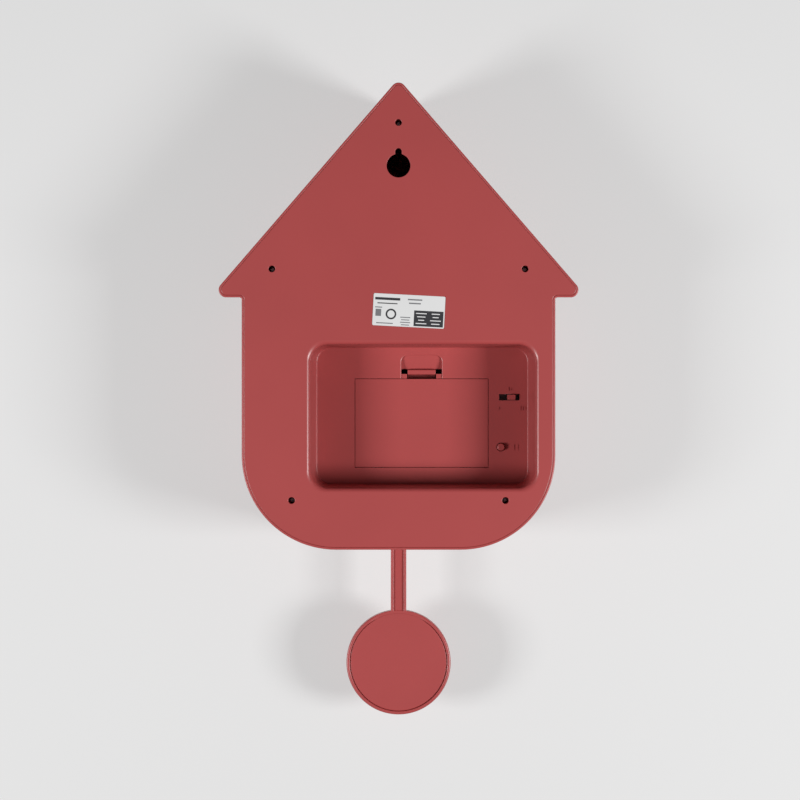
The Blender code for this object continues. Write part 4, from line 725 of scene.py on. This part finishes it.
def raised_marks(name, outlines):
    """Small embossed marks on the recess floor, sunk a little into it."""
    for index, outline in enumerate(outlines):
        thing = plate(f"{name}_{index + 1}", outline, RECESS_DEPTH - MARK_HEIGHT,
                      RECESS_DEPTH + MARK_ROOT)
        finish(thing, "back_cover", stands_for=False)


def control_marks():
    """Generic marks: one, two and three bars for loudness, and two bars beside the button."""
    spots = [("mark_low", 6.6, -6.8, 1), ("mark_middle", -0.2, 5.0, 2), ("mark_high", -8.2, -6.8, 3)]
    for name, aside, up, count in spots:
        bars = []
        for n in range(count):
            offset = (n - (count - 1) / 2) * 1.5
            bars.append(rectangle(SWITCH_X + aside + offset, SWITCH_Z + up, MARK_WIDTH,
                                  2.2 * (0.7 + 0.3 * n)))
        raised_marks(name, bars)
    raised_marks("mark_set", [rectangle(BUTTON_X - 8.0 - 2.2 * n, BUTTON_Z - 0.2, MARK_WIDTH, 3.4)
                              for n in range(2)])


# Pendulum

def flush(x, z):
    """Share of 1 near the neck, where the bob's rim is level with the disc, 0 further round."""
    away = abs(math.degrees(math.atan2(x, z - BOB_Z)))
    share = min(1.0, max(0.0, (38.0 - away) / 16.0))
    return share * share * (3 - 2 * share)


def rod_section():
    """The rod's section of (x, depth) points: two soft rims on its back with a channel between."""
    half = ROD_WIDTH / 2
    back, front = ROD_BACK, ROD_BACK + ROD_THICK
    edge = half - ROD_ROUND
    inner = half - ROD_RIM + ROD_ROUND
    section = [(edge + ROD_ROUND * c, back + ROD_ROUND * (1 - s)) for s, c in quarter(4)]
    section += [(inner - ROD_ROUND * c, back + ROD_ROUND * (1 - s))
                for s, c in reversed(quarter(4))]
    section.append((half - ROD_RIM, back + ROD_CHANNEL))
    section += [(-x, depth) for x, depth in reversed(section)]
    shoulder = front - ROD_ROUND
    return section + [(-half, shoulder), (-half + ROD_ROUND, front), (half - ROD_ROUND, front),
                      (half, shoulder)]


def pendulum():
    """Rod and bob cup: soft rims on the back, the bob's sinking to the disc at the neck."""
    inner = BOB_RADIUS - BOB_RIM
    front = BOB_BACK + BOB_THICK
    profile = [(0, front - BOB_FLOOR), (inner, front - BOB_FLOOR), (inner, BOB_BACK + 0.5)]
    profile += [(inner + 0.5 * (1 - c), BOB_BACK + 0.5 * (1 - s)) for s, c in quarter(3, 1)]
    profile += [(BOB_RADIUS - 1.0 * (1 - s), BOB_BACK + 1.0 * (1 - c)) for s, c in quarter(5)]
    profile += [(BOB_RADIUS - 1.5 * (1 - c), front - 1.5 * (1 - s)) for s, c in quarter(5)]
    profile.append((0, front))
    thing = turned("pendulum_fine", profile, (0, 0, BOB_Z), sides=192)
    for corner in thing.data.vertices:
        x, z, depth = corner.co.x / MM, corner.co.z / MM, -corner.co.y / MM
        if math.hypot(x, z - BOB_Z) > inner - 0.1 and depth < BOB_BACK + RIM_FADE:
            sunk = BOB_SINK * flush(x, z)
            corner.co.y = -(depth + sunk * (RIM_FADE - (depth - BOB_BACK)) / RIM_FADE) * MM
    join(thing, column("rod", rod_section(), BOB_Z + BOB_RADIUS - 0.6, ROD_TOP))
    cut(thing, rod("eye", (0, 0, PEG_Z), PEG_HOLE, ROD_BACK - PAST, ROD_BACK + ROD_THICK + PAST))
    finish(thing, "pendulum_rod")


def bob_disc():
    """Disc inside the bob's rim, its edge slightly rounded; near the neck it closes the groove."""
    radius = BOB_RADIUS - BOB_RIM - BOB_PLAY
    back = BOB_BACK + BOB_SINK
    front = back + 1.5
    profile = [(0, back), (radius - 0.9, back), (radius - 0.4, back + 0.12),
               (radius - 0.1, back + 0.4), (radius, back + 0.7), (radius, front), (0, front)]
    thing = turned("bob_disc", profile, (0, 0, BOB_Z), sides=192)
    for corner in thing.data.vertices:
        x, z, depth = corner.co.x / MM, corner.co.z / MM, -corner.co.y / MM
        if back < depth < back + 1.0:
            corner.co.y = -(depth + (back - depth) * flush(x, z)) * MM
    finish(thing, "bob_cover")


# Screws and battery cells

def crossed_screw(node):
    """Pan-head screw with a cross recess."""
    low, high = box_mm(node)
    x, z = (low[0] + high[0]) / 2, (low[2] + high[2]) / 2
    start, end = low[1], high[1]
    profile = [(0, start), (SCREW_HEAD * 0.5, start + 0.05), (SCREW_HEAD * 0.8, start + 0.2),
               (SCREW_HEAD * 0.96, start + 0.5), (SCREW_HEAD, start + 0.8),
               (SCREW_HEAD, start + SCREW_HEAD_HEIGHT), (SCREW_SHANK, start + SCREW_HEAD_HEIGHT),
               (SCREW_SHANK, end - 1.0), (0, end)]
    thing = turned(f"{node}_fine", profile, (x, 0, z), sides=32)
    for width, height in ((SCREW_HEAD * 1.2, 0.5), (0.5, SCREW_HEAD * 1.2)):
        cut(thing, plate("cross", rectangle(x, z, width, height), start - 0.5, start + 0.9))
    finish(thing, node)


def battery_cell(index):
    """C cell: steel can with its nub, a dark jacket, and a coloured band at the positive end."""
    node = f"battery_cell_{index}"
    low, high = box_mm(node)
    radius = (high[0] - low[0]) / 2
    length = high[2] - low[2]
    centre = ((low[0] + high[0]) / 2, (low[1] + high[1]) / 2, low[2])
    nub = length - 1.5

    def along(part, profile, material, stands_for=False):
        if index == 2:      # the middle cell stands the other way up
            profile = [(r, length - place) for r, place in profile]
        thing = turned(f"{node}_{part}", profile, centre, "z", 96)
        finish(thing, node, material=material, stands_for=stands_for)

    can_radius = radius - 0.12
    rim = [(can_radius - 0.8 * (1 - s), 0.8 * (1 - c)) for s, c in quarter(4)]
    can = [(0, 0.35), (radius * 0.55, 0.35), (radius * 0.6, 0.0)] + rim
    can += [(r, nub - place) for r, place in reversed(rim)]
    can += [(3.6, nub), (3.3, nub + 0.3), (3.3, length - 0.3), (3.0, length), (0, length)]
    along("can", can, MATERIAL["steel"], True)
    split = length * 0.7
    for part, start, end, material in (("jacket", 0.9, split, MATERIAL["cell_jacket"]),
                                       ("band", split, nub - 0.9, JACKET_BAND)):
        along(part, [(0, start), (radius - 0.06, start), (radius, start + 0.15),
                     (radius, end - 0.15), (radius - 0.06, end), (0, end)], material)


# Label

def label_place():
    """Where the label's middle lies and how it is turned."""
    middle = ((LABEL_LOW[0] + LABEL_HIGH[0]) / 2, (LABEL_LOW[2] + LABEL_HIGH[2]) / 2)
    place = Matrix.Translation(Vector((middle[0], 0, middle[1])) * MM)
    return place @ Matrix.Rotation(-LABEL_TILT, 4, "Y")


def label():
    """Sticker with generic grey bars, a ring and a dark block, all printed as thin raised ink.

    x runs to the left when seen from the back, so the print starts at the sheet's +x side.
    """
    turn = label_place()
    back = LABEL_LOW[1]
    ink = (back - 0.02, back + 0.03)
    on_ink = (back - 0.035, back + 0.03)

    def placed(thing, material=None, stands_for=False):
        thing.data.transform(turn)
        finish(thing, "rating_label", material=material, stands_for=stands_for)

    def printed(name, outlines, material, depths=ink):
        for index, outline in enumerate(outlines):
            placed(plate(f"{name}_{index + 1}", outline, *depths), material)

    placed(plate("label_sheet", rectangle(0, 0, *LABEL_SIZE, 0.8, 6), back, LABEL_HIGH[1]),
           stands_for=True)
    printed("label_line", [rectangle(13.0, 6.6, 15.0, 1.5), rectangle(13.0, 3.9, 12.0, 0.6)], INK)
    printed("label_small_line", [rectangle(-3.4, 6.8, 8.6, 0.8), rectangle(-3.4, 4.6, 7.0, 0.8),
                                 rectangle(14.2, -8.0, 10.0, 0.6)], INK_GREY)
    printed("label_bin", [rectangle(18.2, -1.8, 3.4, 4.2), rectangle(18.2, 1.4, 4.2, 0.6)],
            INK_GREY)
    printed("label_ring", [circle(10.6, -2.4, 3.2, 40)], INK)
    placed(plate("label_ring_hole", circle(10.6, -2.4, 2.2, 40), *on_ink), MATERIAL["label_film"])
    printed("label_block", [rectangle(-12.0, -4.2, 17.6, 9.4)], INK)
    lines = [rectangle(-7.6 - 8.6 * side, -1.2 - 2.0 * row, 6.4 - 1.4 * ((row + side) % 3), 0.55)
             for row in range(4) for side in range(2)]
    printed("label_block_line", lines, MATERIAL["label_film"], on_ink)
    printed("label_text", [rectangle(1.9, -4.0 - 1.5 * n, 6.0 - 1.1 * (n % 2), 0.55)
                           for n in range(4)], INK_GREY)


# Front

def dial():
    """Dial with a rounded edge, and dark raised hour marks."""
    back, front = DIAL_LOW[1], DIAL_LOW[1] + DIAL_THICK
    radius = (DIAL_HIGH[0] - DIAL_LOW[0]) / 2
    profile = [(0, back), (radius - 0.1, back), (radius, back + 0.1)]
    profile += [(radius - DIAL_ROUND * (1 - c), front - DIAL_ROUND * (1 - s))
                for s, c in quarter(4)]
    profile.append((0, front))
    face = turned("dial_fine", profile, (0, 0, DIAL_Z), sides=192)
    cut(face, rod("hole", (0, 0, DIAL_Z), BUSH_HOLE, back - PAST, front + PAST))
    finish(face, "dial_face")
    width, short, long = DIAL_MARK
    for hour in range(12):
        angle = math.pi / 6 * hour
        length = long if hour % 3 == 0 else short
        middle = radius - DIAL_MARGIN - length / 2
        outline = [(x * math.cos(angle) + z * math.sin(angle),
                    DIAL_Z - x * math.sin(angle) + z * math.cos(angle))
                   for x, z in rectangle(0, middle, width, length, 0.5, 4)]
        mark = plate(f"dial_mark_{hour + 1}", outline, front - 0.2, DIAL_HIGH[1])
        finish(soften(mark, 0.1), "dial_face", material=INK, stands_for=False)


# The bird's sections: share of its length, height of the middle, half width, half height
BIRD_STATIONS = [(0.0, 11.6, 3.4, 0.8), (0.2, 10.6, 3.0, 1.7), (0.35, 9.2, 6.0, 5.0),
                 (0.53, 9.2, 8.0, 7.4), (0.7, 11.4, 7.6, 8.0), (0.83, 15.0, 6.4, 6.2),
                 (0.93, 15.8, 4.9, 5.0), (1.0, 15.8, 2.4, 2.7)]
BIRD_LENGTH = BIRD_HIGH[1] - BIRD_LOW[1]
BIRD_BASE = BIRD_HIGH[2] - 21.4


def smooth_station(index, t):
    """Section between two stations, on a smooth curve through all of them."""
    last = len(BIRD_STATIONS) - 1
    around = [BIRD_STATIONS[max(0, min(last, index + k))] for k in (-1, 0, 1, 2)]
    return [0.5 * (2 * b + (c - a) * t + (2 * a - 5 * b + 4 * c - d) * t * t
                   + (3 * b - a - 3 * c + d) * t ** 3) for a, b, c, d in zip(*around)]


def bird_body():
    """The bird's body in smooth sections, on its foot."""
    fine = 5
    rings = []
    for index in range((len(BIRD_STATIONS) - 1) * fine + 1):
        n, step = divmod(index, fine)
        share, height, wide, tall = smooth_station(n, step / fine)
        ring = []
        for k in range(40):
            angle = 2 * math.pi * k / 40
            ring.append((max(0.2, wide) * math.cos(angle), BIRD_LOW[1] + share * BIRD_LENGTH,
                         BIRD_BASE + height + max(0.2, tall) * math.sin(angle)))
        rings.append(ring)
    body = loft("bird_fine", rings)
    foot = (0, BIRD_LOW[1] + 0.6 * BIRD_LENGTH, 0)
    join(body, rod("foot", foot, 1.6, BIRD_LOW[2], BIRD_LOW[2] + 8.0, "z", 24))
    finish(body, "bird_body", smooth=60.0)


def bird_side(side, name):
    """A folded wing and an eye."""
    rings = []
    for n in range(13):
        share = n / 12
        reach = math.sin(math.pi * share) ** 0.6 * 3.4
        depth = BIRD_LOW[1] + BIRD_LENGTH * (0.12 + 0.6 * share)
        middle = BIRD_BASE + 9.4 + 2.0 * share
        bulge = 5.0 + 3.2 * math.sin(math.pi * min(1.0, share * 1.1))
        ring = []
        for k in range(16):
            angle = 2 * math.pi * k / 16
            out = bulge + 0.9 * math.cos(angle) * math.sin(math.pi * share) ** 0.5
            ring.append((side * out, depth, middle + max(reach, 0.15) * math.sin(angle)))
        rings.append(ring)
    finish(loft(f"bird_wing_{name}", rings), "bird_body", stands_for=False, smooth=60.0)
    ball = [(0.9 * math.sin(math.pi * n / 10), 0.9 * math.cos(math.pi * n / 10))
            for n in range(11)]
    place = (side * 5.2, BIRD_LOW[1] + 0.86 * BIRD_LENGTH, BIRD_BASE + 17.6)
    eye = turned(f"bird_eye_{name}", ball, place, "x", 24)
    finish(eye, "bird_body", material=INK, stands_for=False, smooth=60.0)


# Stage

def pale_surface():
    """Evenly pale, matt surface that can't be seen from behind."""
    material = bpy.data.materials.new("floor")
    material.use_nodes = True
    tree = material.node_tree
    shader = tree.nodes["Principled BSDF"]
    shader.inputs["Base Color"].default_value = (0.36, 0.36, 0.36, 1.0)
    shader.inputs["Roughness"].default_value = 0.9
    shader.inputs["Specular IOR Level"].default_value = 0.0
    shader.inputs["Emission Color"].default_value = (1.0, 1.0, 1.0, 1.0)
    shader.inputs["Emission Strength"].default_value = 0.42
    clear = tree.nodes.new("ShaderNodeBsdfTransparent")
    pick = tree.nodes.new("ShaderNodeMixShader")
    geometry = tree.nodes.new("ShaderNodeNewGeometry")
    tree.links.new(geometry.outputs["Backfacing"], pick.inputs["Fac"])
    tree.links.new(shader.outputs["BSDF"], pick.inputs[1])
    tree.links.new(clear.outputs["BSDF"], pick.inputs[2])
    tree.links.new(pick.outputs["Shader"], tree.nodes["Material Output"].inputs["Surface"])
    return material


def floor():
    """Surface in front of the clock's face, with only the side that faces the clock."""
    depth = BODY_DEPTH + 9.5
    thing = plate("floor", rectangle(0, -150.0, 2400.0, 2400.0), depth, depth + 1.0)
    shape = bmesh.new()
    shape.from_mesh(thing.data)
    away = [face for face in shape.faces if face.normal.y < 0.5]
    bmesh.ops.delete(shape, geom=away, context="FACES")
    shape.to_mesh(thing.data)
    shape.free()
    thing.data.materials.append(pale_surface())


def soft_light(name, toward, distance, size, power):
    data = bpy.data.lights.new(name, "AREA")
    data.shape = "RECTANGLE"
    data.size, data.size_y = size
    data.energy = power
    light = bpy.data.objects.new(name, data)
    bpy.context.scene.collection.objects.link(light)
    place = LIT_POINT + Vector(toward).normalized() * distance
    light.location = place
    light.rotation_euler = (LIT_POINT - place).to_track_quat("-Z", "Y").to_euler()


def stage():
    """Pale surface that the clock's face lies on, soft lights and the camera."""
    floor()
    for light in LIGHTS:
        soft_light(*light)

    world = bpy.data.worlds.new("world")
    world.use_nodes = True
    background = world.node_tree.nodes["Background"]
    background.inputs["Color"].default_value = (1.0, 1.0, 1.0, 1.0)
    background.inputs["Strength"].default_value = 0.05
    bpy.context.scene.world = world

    data = bpy.data.cameras.new("camera")
    data.sensor_width = SENSOR
    data.lens = SENSOR * CAMERA_DISTANCE / VIEW_WIDTH
    camera = bpy.data.objects.new("camera", data)
    camera.location = (-0.0009, CAMERA_DISTANCE, -0.1488)
    camera.rotation_euler = (math.pi / 2, 0, math.pi)
    bpy.context.scene.collection.objects.link(camera)
    bpy.context.scene.camera = camera
    bpy.context.scene.view_settings.view_transform = "Standard"


def main():
    stage()
    shell()
    cover()
    control_marks()
    for index in range(len(SCREW_PLACES)):
        crossed_screw(f"housing_screw_{index + 1}")
    label()
    for node, width in (("battery_door", 0.25), ("battery_latch", 0.2), ("switch_knob", 0.3),
                        ("set_button", 0.25)):
        refined(node, width)
    pendulum()
    bob_disc()
    bird_body()
    bird_side(-1, "left")
    bird_side(1, "right")
    for index in (1, 2, 3):
        battery_cell(index)
    dial()
    for node in ("hour_hand", "minute_hand", "bird_door", "movement_nut", "battery_tub"):
        refined(node, 0.2)
    for node, thing in frame["nodes"].items():
        if not thing.hide_render:
            thing.data.materials.clear()
            thing.data.materials.append(MATERIAL[SLOT_OF[node]])


main()
